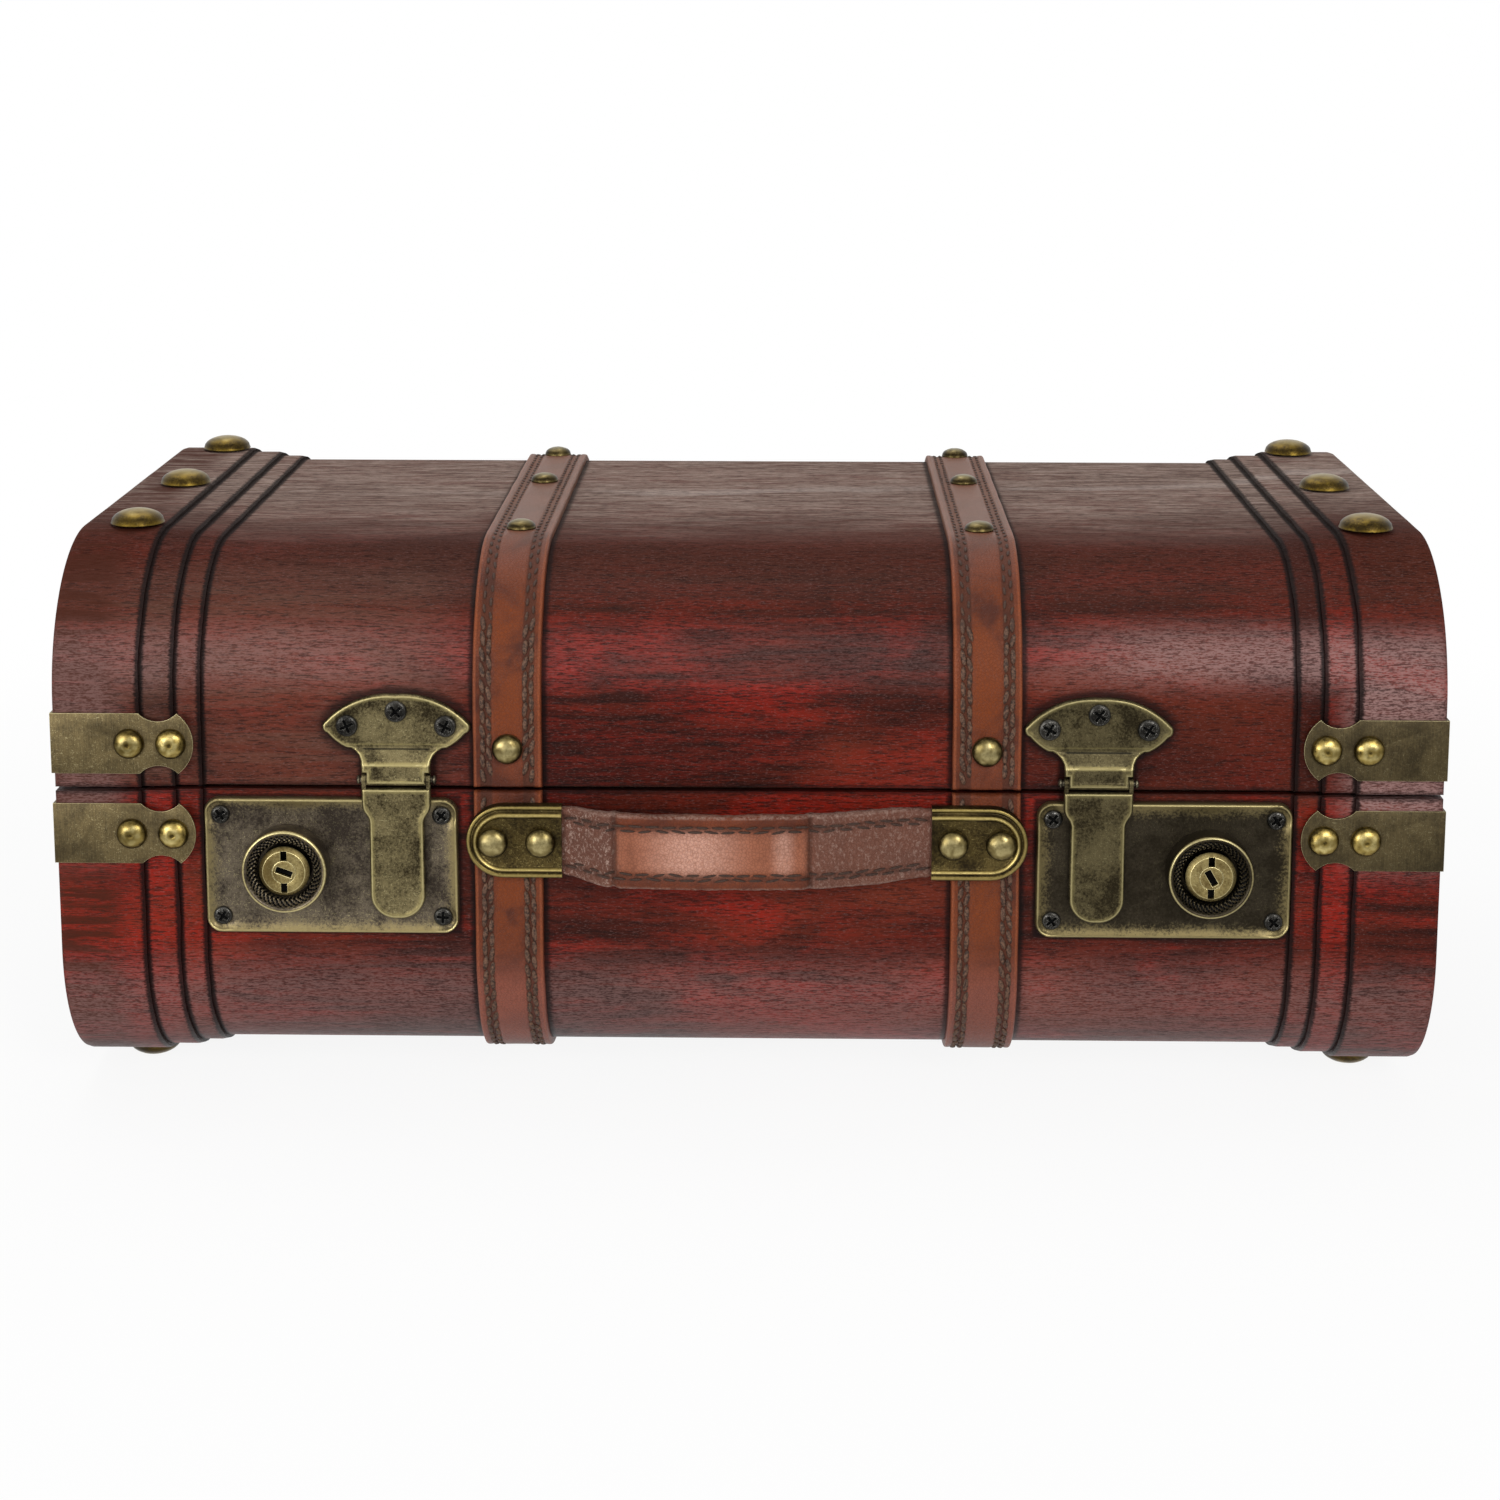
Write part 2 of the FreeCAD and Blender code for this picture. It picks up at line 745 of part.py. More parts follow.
def tongue_outline():
    """Tongue with a wider top, an ogee below it and a rounded end."""
    top = pin_rise - tongue_top_drop
    wide = bracket_neck_half
    narrow = tongue_half
    shoulder = -tongue_step_z
    waist = shoulder - tongue_step_height
    end = top - tongue_length
    turn = tongue_end_round
    slant = turn * (1 - math.sqrt(0.5))
    middle_x = (wide + narrow) / 2
    middle_z = (shoulder + waist) / 2
    bow = (wide - narrow) / 8
    steps = [
        (point(wide, 0, shoulder),),
        (point((wide + middle_x) / 2 + bow, 0, (shoulder + middle_z) / 2), point(middle_x, 0, middle_z)),
        (point((narrow + middle_x) / 2 - bow, 0, (waist + middle_z) / 2), point(narrow, 0, waist)),
        (point(narrow, 0, end + turn),),
        (point(narrow - slant, 0, end + slant), point(narrow - turn, 0, end)),
        (point(turn - narrow, 0, end),),
        (point(slant - narrow, 0, end + slant), point(-narrow, 0, end + turn)),
        (point(-narrow, 0, waist),),
        (point(bow - (narrow + middle_x) / 2, 0, (waist + middle_z) / 2),
         point(-middle_x, 0, middle_z)),
        (point(-(wide + middle_x) / 2 - bow, 0, (shoulder + middle_z) / 2), point(-wide, 0, shoulder)),
        (point(-wide, 0, top),),
    ]
    return closed_face(point(wide, 0, top), steps)


def hasp_tongue(side):
    """Tongue with two ears that turn on the pin, one each side of the bracket's roll."""
    plate = tongue_outline()
    plate.translate(point(0, bracket_thickness - bracket_stand, 0))
    shape = plate.extrude(forward * bracket_thickness)
    axis_y = roll_radius - bracket_stand
    outer = bracket_neck_half
    inner = outer - ear_thickness
    for low, high in ((inner, outer), (-outer, -inner)):
        eye = cylinder(roll_radius, high - low, point(low, axis_y, pin_rise), rightward)
        arm = block(low, high, -bracket_stand, axis_y, pin_rise - tongue_top_drop, pin_rise)
        shape = shape.fuse([eye, arm])
    shape = shape.removeSplitter().cut(hasp_pin_bore(axis_y))
    return seated_hasp(shape, side)


# Handle

def cap_face(length, height, drop):
    """Outline of a cap in the XZ plane: square at the inner end and round at the outer end."""
    radius = height / 2
    straight = length - radius
    steps = [
        (point(straight, 0, -radius),),
        (point(length, 0, 0), point(straight, 0, radius)),
        (point(0, 0, radius),),
    ]
    face = closed_face(point(0, 0, -radius), steps)
    face.translate(forward * drop)
    return face


def handle_cap(side):
    """Pressed cap over the end of the handle band, with a sunk pan inside a raised rim."""
    shape = cap_face(cap_length, cap_height, 0).extrude(forward * cap_stand)
    shape = shape.makeFillet(cap_edge_round, curved_rim(shape))
    pan = cap_face(cap_length - cap_rim_width, cap_height - 2 * cap_rim_width,
                   cap_stand - cap_pan_depth)
    shape = shape.cut(pan.extrude(forward * cap_stand))
    hollow = cap_face(cap_length - cap_wall, cap_height - 2 * cap_wall, 0)
    shape = shape.cut(hollow.extrude(forward * (handle_tab_thickness + 2 * handle_tab_gap)))
    shape.translate(point(cap_inner_x, skin_front_y - strap_thickness, cap_z))
    if side == "left":
        shape = mirror_x(shape)
    return shape.cut(rivet_bores())


def curved_rim(shape):
    """Outer edges of a cap's top, without the one at its square end."""
    tiny = 1e-4
    return [edge for edge in edges_at(shape, -cap_stand) if edge.BoundBox.XMax > tiny]


def rivet_bores():
    return Part.makeCompound([shank_hole(place, way, rivet_shank_radius, rivet_shank())
                              for place, way in rivet_seats()])


def handle_run(stand, rise):
    """Edges of one face of the band from cap to cap: up, level and down, standing off the strap."""
    end = cap_inner_x
    rest_y = skin_front_y - strap_thickness - handle_tab_gap
    far_y = rest_y - stand - handle_bulge
    low_z = cap_z - handle_height / 2
    climb = 2 * end * handle_rise_share
    fall = 2 * end * handle_fall_share
    starts = point(-end, rest_y - rise, low_z), point(climb - end, far_y, low_z)
    ends = point(end - fall, far_y, low_z), point(end, rest_y - rise, low_z)
    edges = []
    for first, last in (starts, ends):
        curve = Part.BSplineCurve()
        curve.interpolate(Points=[first, last], InitialTangent=rightward, FinalTangent=rightward)
        edges.append(curve.toShape())
    edges.insert(1, Part.makeLine(starts[1], ends[0]))
    return edges


def handle_band():
    """Leather band that stands off between the caps, with a thinner tab under each."""
    inner = handle_run(0, 0)
    outer = handle_run(handle_thickness, handle_tab_thickness)
    ends = [Part.makeLine(inner[place].Vertexes[place].Point, outer[place].Vertexes[place].Point)
            for place in (0, -1)]
    outline = Part.Wire(Part.__sortEdges__(inner + outer + ends))
    shape = Part.Face(outline).extrude(upward * handle_height)
    tab = cap_face(handle_tab_reach, handle_tab_height, 0).extrude(forward * handle_tab_thickness)
    tab.translate(point(cap_inner_x, skin_front_y - strap_thickness - handle_tab_gap, cap_z))
    return shape.fuse([tab, mirror_x(tab)]).cut(rivet_bores())


# Hinges

def hinge_spans(half):
    """Stretches along X that one leaf's knuckles take, about the hinge's middle."""
    middle = hinge_length * hinge_middle_share / 2
    end = hinge_length / 2
    gap = hinge_joint_clearance / 2
    if half == "lid":
        return [(gap - middle, middle - gap)]
    return [(-end, -middle - gap), (middle + gap, end)]


def hinge_leaf(half):
    """Leaf on the board's back with its knuckles round the pin, about X 0."""
    sign = half_sizes[half][0]
    other = "base" if half == "lid" else "lid"
    far = parting_z + sign * (seam_gap / 2 + hinge_leaf_height)
    half_length = hinge_length / 2
    shape = block(-half_length, half_length, skin_rear_y, skin_rear_y + hinge_leaf_thickness,
                  min(far, parting_z), max(far, parting_z))
    for low, high in hinge_spans(half):
        start = point(low, hinge_y, parting_z)
        shape = shape.fuse(cylinder(hinge_knuckle_radius, high - low, start, rightward))
    for low, high in hinge_spans(other):
        start = point(low - hinge_joint_clearance, hinge_y, parting_z)
        length = high - low + 2 * hinge_joint_clearance
        room = cylinder(hinge_knuckle_radius + hinge_clearance, length, start, rightward)
        shape = shape.cut(room)
    beyond = block(-half_length, half_length, skin_rear_y, hinge_y - hinge_pin_radius,
                   min(parting_z, parting_z - sign * cut_overrun),
                   max(parting_z, parting_z - sign * cut_overrun))
    shape = shape.cut(beyond).removeSplitter()
    bore = cylinder(hinge_pin_radius + pin_clearance, hinge_length + 2 * cut_overrun,
                    point(-half_length - cut_overrun, hinge_y, parting_z), rightward)
    return shape.cut(bore)


def hinge_leaves(half):
    one = hinge_leaf(half)
    leaves = []
    for side in (-1, 1):
        leaf = one.copy()
        leaf.translate(point(side * hinge_offset, 0, 0))
        leaves.append(leaf)
    tools = [shank_hole(place, way, screw_shank_radius, screw_shank_length)
             for place, way in hinge_screw_seats(half)]
    drilled = [leaf.cut(Part.makeCompound(tools)) for leaf in leaves]
    return Part.makeCompound(drilled)


def hinge_pins():
    starts = [point(side * hinge_offset - hinge_length / 2, hinge_y, parting_z) for side in (-1, 1)]
    return Part.makeCompound([cylinder(hinge_pin_radius, hinge_length, start, rightward)
                              for start in starts])


# The whole chest

def case_nodes(half):
    """Boards, bands, lining and straps of one half, drilled for their nails and screws."""
    names = {f"{half}_skin": wrap(half, skin_inset, skin_thickness, -end_x, end_x)}
    names[f"{half}_lining"] = lining(half)
    for side in sides:
        names[f"{half}_end_board_{side}"] = end_board(half, side)
        names[f"{half}_strap_{side}"] = strap(half, side)
        for order, title in enumerate(("outer", "middle", "inner")):
            names[f"{half}_{title}_band_{side}"] = band(half, side, order)
    drill = bores(half)
    drilled = {name: shape.cut(drill) for name, shape in names.items()}
    if half == "base":
        for name in ("base_skin", "base_lining"):
            drilled[name] = drilled[name].cut(lock_windows())
    return drilled


def fastener_nodes():
    tack = dome_nail(tack_radius, tack_height, tack_shank_radius, tack_shank_length)
    dome = dome_nail(dome_radius, dome_height, dome_shank_radius, dome_shank())
    foot = dome_nail(dome_radius, dome_height, dome_shank_radius, dome_shank(), foot_flat_depth)
    rivet = dome_nail(rivet_radius, rivet_height, rivet_shank_radius, rivet_shank())
    return {
        "lid_dome_nails": set_fasteners(dome, [(place, upward) for place in dome_places("lid")]),
        "base_feet": set_fasteners(foot, [(place, downward) for place in dome_places("base")]),
        "lid_corner_nails": set_fasteners(tack, corner_tack_seats("lid")),
        "base_corner_nails": set_fasteners(tack, corner_tack_seats("base")),
        "lid_strap_nails": set_fasteners(tack, strap_tack_seats()),
        "lock_screws": set_fasteners(screw(lock_screw_radius), lock_screw_seats()),
        "hasp_screws": set_fasteners(screw(bracket_screw_radius), bracket_screw_seats()),
        "base_hinge_screws": set_fasteners(screw(hinge_screw_radius), hinge_screw_seats("base")),
        "lid_hinge_screws": set_fasteners(screw(hinge_screw_radius), hinge_screw_seats("lid")),
        "handle_rivets": set_fasteners(rivet, rivet_seats()),
    }


def drilled_corner_plates(half):
    tools = [shank_hole(place, way, tack_shank_radius, tack_shank_length)
             for place, way in corner_tack_seats(half)]
    plates = corner_plates(half)
    return Part.makeCompound([plate.cut(Part.makeCompound(tools)) for plate in plates.Solids])


def hardware_nodes():
    names = {
        "lid_corner_plates": drilled_corner_plates("lid"),
        "base_corner_plates": drilled_corner_plates("base"),
        "hasp_pins": hasp_pins(),
        "base_hinge_leaves": hinge_leaves("base"),
        "lid_hinge_leaves": hinge_leaves("lid"),
        "hinge_pins": hinge_pins(),
        "handle_band": handle_band(),
    }
    for side in sides:
        names[f"lock_plate_{side}"] = lock_plate(side)
        names[f"lock_case_{side}"] = lock_case(side)
        names[f"knob_ring_{side}"] = knob_ring(side)
        names[f"lock_cylinder_{side}"] = lock_cylinder(side)
        names[f"key_plug_{side}"] = key_plug(side)
        names[f"hasp_bracket_{side}"] = hasp_bracket(side)
        names[f"hasp_tongue_{side}"] = hasp_tongue(side)
        names[f"handle_cap_{side}"] = handle_cap(side)
    return names


def main():
    os.makedirs("parts", exist_ok=True)
    nodes = {}
    nodes.update(case_nodes("base"))
    nodes.update(case_nodes("lid"))
    nodes.update(fastener_nodes())
    nodes.update(hardware_nodes())
    for name, shape in sorted(nodes.items()):
        shape.exportStep(f"parts/{name}.step")
        print(name, len(shape.Solids), "solids", "valid" if shape.isValid() else "NOT VALID",
              f"{shape.Volume:.0f} mm3")
    print(len(nodes), "nodes")


main()
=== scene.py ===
import cmath
import math
import random

import bmesh
import bpy
from mathutils import Matrix, Vector, noise


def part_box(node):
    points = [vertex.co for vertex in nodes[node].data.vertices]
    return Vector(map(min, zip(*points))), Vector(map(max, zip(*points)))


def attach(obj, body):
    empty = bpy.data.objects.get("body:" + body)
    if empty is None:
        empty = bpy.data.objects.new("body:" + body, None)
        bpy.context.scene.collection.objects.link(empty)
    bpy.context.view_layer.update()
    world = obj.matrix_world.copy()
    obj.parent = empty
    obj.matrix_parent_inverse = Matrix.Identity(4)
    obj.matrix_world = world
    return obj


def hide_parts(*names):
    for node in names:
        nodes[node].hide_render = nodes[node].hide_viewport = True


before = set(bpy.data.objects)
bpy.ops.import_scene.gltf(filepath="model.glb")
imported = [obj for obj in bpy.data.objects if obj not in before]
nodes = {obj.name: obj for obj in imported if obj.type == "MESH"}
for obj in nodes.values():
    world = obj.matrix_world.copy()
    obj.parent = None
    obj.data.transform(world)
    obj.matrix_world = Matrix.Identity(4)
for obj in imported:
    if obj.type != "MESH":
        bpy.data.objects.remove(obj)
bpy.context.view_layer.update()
mm = 0.001
print("frame loaded,", len(nodes), "CAD pieces")


def boxOf(name):  # a CAD piece's box, in millimetres
    low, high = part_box(name)
    return low / mm, high / mm


def middleOf(name):
    low, high = boxOf(name)
    return (low + high) / 2


# sizes of the case, read from its CAD pieces
baseBandLow, baseBandHigh = boxOf("base_outer_band_left")
lidBandLow, lidBandHigh = boxOf("lid_outer_band_left")
parting = (baseBandHigh.z + lidBandLow.z) / 2
case = {
    "frontY": baseBandLow.y, "rearY": baseBandHigh.y, "endX": -baseBandLow.x,
    "seam": lidBandLow.z - baseBandHigh.z, "corner": 50.0, "skinInset": 4.5,
    "height": {"lid": lidBandHigh.z - parting, "base": parting - baseBandLow.z}, "strapHalf": 11.2,
    "plateHalf": (41.5, 22.9),
}
skinY = case["frontY"] + case["skinInset"]
plate = middleOf("lock_plate_right")
bracket = middleOf("hasp_bracket_right")
capLow, capHigh = boxOf("handle_cap_right")
strap = middleOf("base_strap_right")
bandOrder = ("outer", "middle", "inner")
bandEdges = [-boxOf(f"base_{order}_band_left")[1].x for order in bandOrder]
strapEdges = [strap.x - case["strapHalf"], strap.x + case["strapHalf"]]
signs = {"left": -1, "right": 1}
quarters = [(half, side) for half in ("base", "lid") for side in signs]
upward = Vector((0, 0, 1))
forward = Vector((0, -1, 0))


# shader maths

class Wire:  # a shader value that adds, scales and mixes like a number
    def __init__(self, tree, socket=None):
        self.tree = tree
        self.socket = socket

    def node(self, kind, settings={}, sockets={}, output=0):
        made = self.tree.nodes.new("ShaderNode" + kind)
        for name, value in settings.items():
            setattr(made, name, value)
        for key, value in sockets.items():
            if isinstance(value, Wire):
                self.tree.links.new(value.socket, made.inputs[key])
            else:
                made.inputs[key].default_value = value
        return Wire(self.tree, made.outputs[output] if len(made.outputs) else None)

    def maths(self, operation, *values):
        return self.node("Math", {"operation": operation}, dict(enumerate(values)))

    __add__ = __radd__ = lambda self, other: self.maths("ADD", self, other)
    __mul__ = __rmul__ = lambda self, other: self.maths("MULTIPLY", self, other)
    __sub__ = lambda self, other: self.maths("SUBTRACT", self, other)
    __rsub__ = lambda self, other: self.maths("SUBTRACT", other, self)
    __truediv__ = lambda self, other: self.maths("DIVIDE", self, other)
    __pow__ = lambda self, other: self.maths("POWER", self, other)
    __abs__ = lambda self: self.maths("ABSOLUTE", self)


def tone(red, green, blue):  # a screen colour as the shader's linear one
    return tuple((c / 255) ** 2.2 for c in (red, green, blue)) + (1.0,)


def between(value, low, high):  # soft step from 0 at low to 1 at high
    return value.node("MapRange", {"interpolation_type": "SMOOTHSTEP"},
            {"Value": value, "From Min": low, "From Max": high})


def fading(value, low, high):
    return 1 - between(value, low, high)


def swell(value, low, full, leave, gone):  # soft rise from low to full, soft fall from leave to gone
    return between(value, low, full) * fading(value, leave, gone)


def larger(first, *others):
    for other in others:
        first = first.maths("MAXIMUM", first, other)
    return first


def smaller(first, *others):
    for other in others:
        first = first.maths("MINIMUM", first, other)
    return first


def mixed(factor, first, second):
    return factor.node("Mix", {"data_type": "RGBA"}, {0: factor, 6: first, 7: second}, output=2)


def painted(colour, look, coats):  # each coat's tone goes over the last where its mask is
    for mask, name in coats:
        colour = mixed(mask, colour, look[name])
    return colour


def cloud(place, stretch, scale, detail, rough, twist=0.0):
    moved = place.node("VectorMath", {"operation": "MULTIPLY"}, {0: place, 1: stretch})
    return moved.node("TexNoise", {}, {"Vector": moved, "Scale": scale, "Detail": detail,
            "Roughness": rough, "Distortion": twist})


def boxGap(across, up, x, z, halfX, halfZ):  # distance outside a rectangle on the front
    return larger(abs(across - x) - halfX, abs(up - z) - halfZ)


def emptied(owner):  # a material or world with its nodes taken out
    owner.use_nodes = True
    owner.node_tree.nodes.clear()
    return Wire(owner.node_tree)


def startFinish(name):  # new material with its place in millimetres, and that place's parts
    material = bpy.data.materials.new(name)
    wire = emptied(material)
    spot = wire.node("TexCoord", output="Object")
    spot = wire.node("VectorMath", {"operation": "SCALE"}, {0: spot, "Scale": 1 / mm})
    parts = [wire.node("SeparateXYZ", {}, {0: spot}, output=n) for n in range(3)]
    return material, spot, parts


def endFinish(colour, roughness, metallic, height, depth, strength=1.0, specular=0.5):
    bump = colour.node("Bump", {}, {"Strength": strength, "Distance": depth * mm, "Height": height})
    shader = colour.node("BsdfPrincipled", {}, {
        "Base Color": colour,
        "Roughness": roughness,
        "Metallic": metallic,
        "Normal": bump,
        "Specular IOR Level": specular,
    })
    colour.node("OutputMaterial", {}, {"Surface": shader})


even = (1, 1, 1)

# stained wood: its tones, its grain, and where its wear, soot, painted sheen and painted shade lie in
# millimetres
woodLook = {
    "dark": tone(48, 21, 15), "brown": tone(82, 32, 22), "red": tone(138, 32, 23),
    "rust": tone(108, 48, 31), "umber": tone(62, 31, 20), "drab": tone(82, 60, 50),
    "dustAndSheen": tone(160, 141, 130), "rubbedAndSheen": tone(136, 106, 102), "foldHighlight": tone(176, 164, 156),
    "sootAndShade": tone(17, 12, 11),
    "grains": {  # power of the stretch, then the noise's scale, detail, roughness and twist
        "fibre": (1.08, 2.3, 4.0, 0.62, 0.25),
        "streak": (1.3, 0.304, 4.0, 0.6, 0.5),
        "patch": (0.45, 0.03, 4.0, 0.55, 0.8),
        "gloom": (0.35, 0.018, 3.0, 0.5, 0.3),
        "crackle": (0.5, 2.2, 3.0, 0.6, 0.0),
        "lines": (1.1, 0.5, 5.0, 0.8, 0.3),
        "glint": (0.6, 2.4, 4.0, 0.75, 0.0),
    },
    # heights over the joint line
    "calm": (-6, 4, 18, 32), "lidFace": (-3, 4, 60, 74), "lidBend": (29, 40, 46, 58), "bendSheen": (34, 42),
    "lowBend": (50, 72, 84, 98), "bendDark": (48, 66), "rightShadeUp": (22, 36), "topRise": (62, 76),
    "mattRise": (56, 76), "rim": (0.9, 2.4), "endSheenAt": 12, "endSheenReach": (20, 46),
    # depths
    "topBack": (-84, 8), "foldAt": 20, "foldWidth": (2, 9), "frontDepth": (8, 12),
    # distances from the middle of the length
    "drabLeft": (76, 116), "rightShadeX": (80, 110), "sheenRight": (90, 130), "bendOut": (70, 150),
    "endSheenRight": (186, 202), "endSheenLeft": (198, 210), "murkLeft": (200, 211), "lastEdge": (222, 227),
    # soot and painted shade round the bands, straps and hasps
    "stepSootAndShade": (0.7, 1.9), "strapSootAndShade": (0.8, 2.4), "domeAt": 21, "domeHalf": (25, 12.5), "neckAt": 4,
    "neckHalf": (12.0, 8),
    "reliefDepth": 0.18, "specular": 0.1,
}


def woodFinish(name, look, stretch):
    material, spot, (x, y, z) = startFinish(name)
    side, up = abs(x), z - parting
    tint = spot.node("Attribute", {"attribute_name": "tint"}, output="Fac")
    fibre, streak, patch, gloom, crackle, lines, glint = [
        cloud(spot, [k ** power for k in stretch], *settings) for power, *settings in look["grains"].values()]
    wobble = (crackle - 0.5) * 2.0
    wander = patch - 0.5

    glow = between(patch * 0.75 + streak * 0.25 + tint * 0.07, 0.44, 0.66)
    glow = glow * (0.26 + 0.5 * between(fibre, 0.38, 0.6)) * (1 - swell(up, *look["calm"]) * 0.5)
    lidFace = swell(up, *look["lidFace"])
    drab = lidFace * between(x * -1, *look["drabLeft"]) * (0.3 + 0.35 * between(streak, 0.4, 0.6))
    # painted shade: the lid's face darker low down on the right
    dusk = lidFace * between(x, *look["rightShadeX"]) * fading(up, *look["rightShadeUp"]) * 0.5
    top = between(y + wander * 90, *look["topBack"]) * between(up, *look["topRise"])
    fold = top * fading(abs(y - look["foldAt"] - x * 0.1 + wander * 30), *look["foldWidth"])
    shadow = between(0.98 - fibre, 0.47, 0.61)
    murk = between(x * -1, *look["murkLeft"]) * (0.2 + 0.7 * between(streak, 0.42, 0.56))

    # painted sheen, as if rubbed: glints on the ends, stronger on the right, and reflections of the lamps and
    # floor on the bends of the base and lid
    pits = between(fibre * 0.5 + crackle * 0.5, 0.42, 0.56)
    ends = larger(between(x, *look["endSheenRight"]) * 0.9, between(x * -1, *look["endSheenLeft"]) * 0.4)
    ends = ends * fading(abs(up - look["endSheenAt"]), *look["endSheenReach"])
    lowBend = swell(up * -1, *look["lowBend"]) * 0.45
    lidBend = swell(up, *look["lidBend"]) * (0.35 + 0.65 * between(side, *look["bendOut"]))
    lidBend = lidBend * (0.4 + 0.35 * between(x, *look["sheenRight"]) * between(up, *look["bendSheen"]))
    paintedSheens = larger(ends, lowBend, lidBend) * (1 - between(side, *look["lastEdge"]) * 0.75)

    # soot and painted shade beside the bands, straps, plates and hasps, and along the joint line
    steps = smaller(*[abs(side - e) for e in bandEdges]) + wobble
    besideStrap = smaller(*[abs(side - e) for e in strapEdges]) + wobble
    sootAndShade = larger(fading(steps, *look["stepSootAndShade"]), fading(besideStrap, *look["strapSootAndShade"]) * 0.85)
    rim = fading(abs(up) + wobble, *look["rim"])
    domeX, domeZ = look["domeHalf"]
    dome = (((side - bracket.x) / domeX) ** 2 + ((up - look["domeAt"]) / domeZ) ** 2) ** 0.5
    plateGap = boxGap(side, up, plate.x, plate.z - parting, *case["plateHalf"])
    neckGap = boxGap(side, up, bracket.x, look["neckAt"], *look["neckHalf"])
    shadeHalo = larger(fading(dome + wobble * 0.04, 0.92, 1.1), fading(plateGap + wobble, 0.1, 1.6),
            fading(neckGap + wobble, 0.0, 1.6))
    front = fading(y, *[case["frontY"] + depth for depth in look["frontDepth"]])

    colour = mixed(between(streak * 0.45 + gloom * 0.55, 0.38, 0.56), look["dark"], look["brown"])
    colour = painted(colour, look, (
        (between(gloom, 0.5, 0.68) * 0.6, "rust"),
        (glow, "red"),
        (between(up + wander * 26, *look["bendDark"]) * 0.8, "umber"),
        (between(tint * -1, 0.2, 1.0) * 0.5, "dark"),
        (drab, "drab"),
        (dusk, "dark"),
        # the top: dust, with a painted sheen of the backdrop's grazing reflection
        (top * (0.22 + 0.62 * between(lines, 0.4, 0.6)), "dustAndSheen"),
        # a painted highlight along a fold across the top
        (fold * 0.4 * between(patch, 0.4, 0.6), "foldHighlight"),
        (shadow * 0.62, "sootAndShade"),
        # a fine speckle of painted glints
        (between(glint, 0.53, 0.66) * 0.2, "rubbedAndSheen"),
        (murk, "umber"),
        # painted sheen on the ends and the bends
        (paintedSheens * (0.2 + 0.8 * pits), "rubbedAndSheen"),
        (larger(sootAndShade * 0.9, rim * 0.6, shadeHalo * front * 0.75), "sootAndShade"),
    ))
    shine = 0.31 + 0.16 * crackle + 0.14 * shadow + 0.45 * between(up, *look["mattRise"])
    relief = fibre * 0.5 + crackle * 0.4 + streak * 0.8
    endFinish(colour, shine, 0.0, relief, look["reliefDepth"], 0.9, look["specular"])
    return material


leatherLook = {
    "tan": tone(106, 56, 37), "deep": tone(72, 39, 29), "bright": tone(112, 56, 28),
    "edge": tone(140, 78, 50), "greyAndSheen": tone(118, 84, 66), "dirtAndShade": tone(54, 38, 32),
    "dusty": tone(100, 71, 61), "vein": tone(158, 134, 122), "belly": tone(146, 92, 70),
    "paintedHighlight": tone(212, 168, 150), "sheen": tone(140, 86, 74),
    "mottle": (0.05, 4.0, 0.6, 0.5),  # the noise's scale, detail, roughness and twist
    "speck": (0.9, 4.0, 0.65), "fine": (3.0, 2.0, 0.5), "veins": (0.9, 6.0, 0.75, 0.6), "pebble": 0.95,
    "reliefDepth": 0.3, "specular": 0.14,
    # distances from the strap's middle line
    "strapChannel": 6.95, "strapEdge": (9.8, 10.3, 10.7, 11.2), "strapMiddle": (2.5, 6.0),
    # heights over the joint line, and the top's depths
    "glowLid": (6, 30, 58, 74), "glowBase": (-62, -38, -30, 4), "lowSheen": (52, 72, 90, 100),
    "topRise": (60, 76), "topBack": (-104, -40),
    # places along the handle, and distances from its middle line
    "handleLeft": (-45.0, -40.5), "handleRight": (17.5, 23.5),
    "creases": ((-42.5, 0.3, 1.3), (20.5, 0.3, 1.2)),
    # painted highlights on the belly
    "highlightSpots": ((-17, 1, 21, 0.56), (12, 0.5, 5, 0.4)),  # place, reach and strength
    "handleChannel": 8.3, "bellyHalf": (4.0, 10.0), "handleEdge": (11.0, 12.0),
}


def strapCoats(spots, mottle, speck, look):
    x, y, z = spots
    up = z - parting
    across = abs(abs(x) - strap.x)
    channel = fading(abs(across - look["strapChannel"]), 1.5, 2.3)
    glow = larger(swell(up, *look["glowLid"]), swell(up, *look["glowBase"]))
    above = between(y, *look["topBack"]) * between(up, *look["topRise"])
    coats = [
        (glow * (0.35 + 0.5 * fading(across, *look["strapMiddle"])) * between(mottle, 0.3, 0.55), "bright"),
        (swell(across, *look["strapEdge"]) * 0.55, "edge"),
        (swell(up * -1, *look["lowSheen"]) * 0.6, "sheen"),
        # the top greyer: a greyer tone, with a painted sheen of grazing reflection
        (above * (0.5 + 0.35 * between(speck, 0.4, 0.6)), "greyAndSheen"),
        # dirt, with painted shade in the stitch channel
        (channel * (0.6 - 0.45 * above), "dirtAndShade"),
    ]
    return coats, channel * 0.6


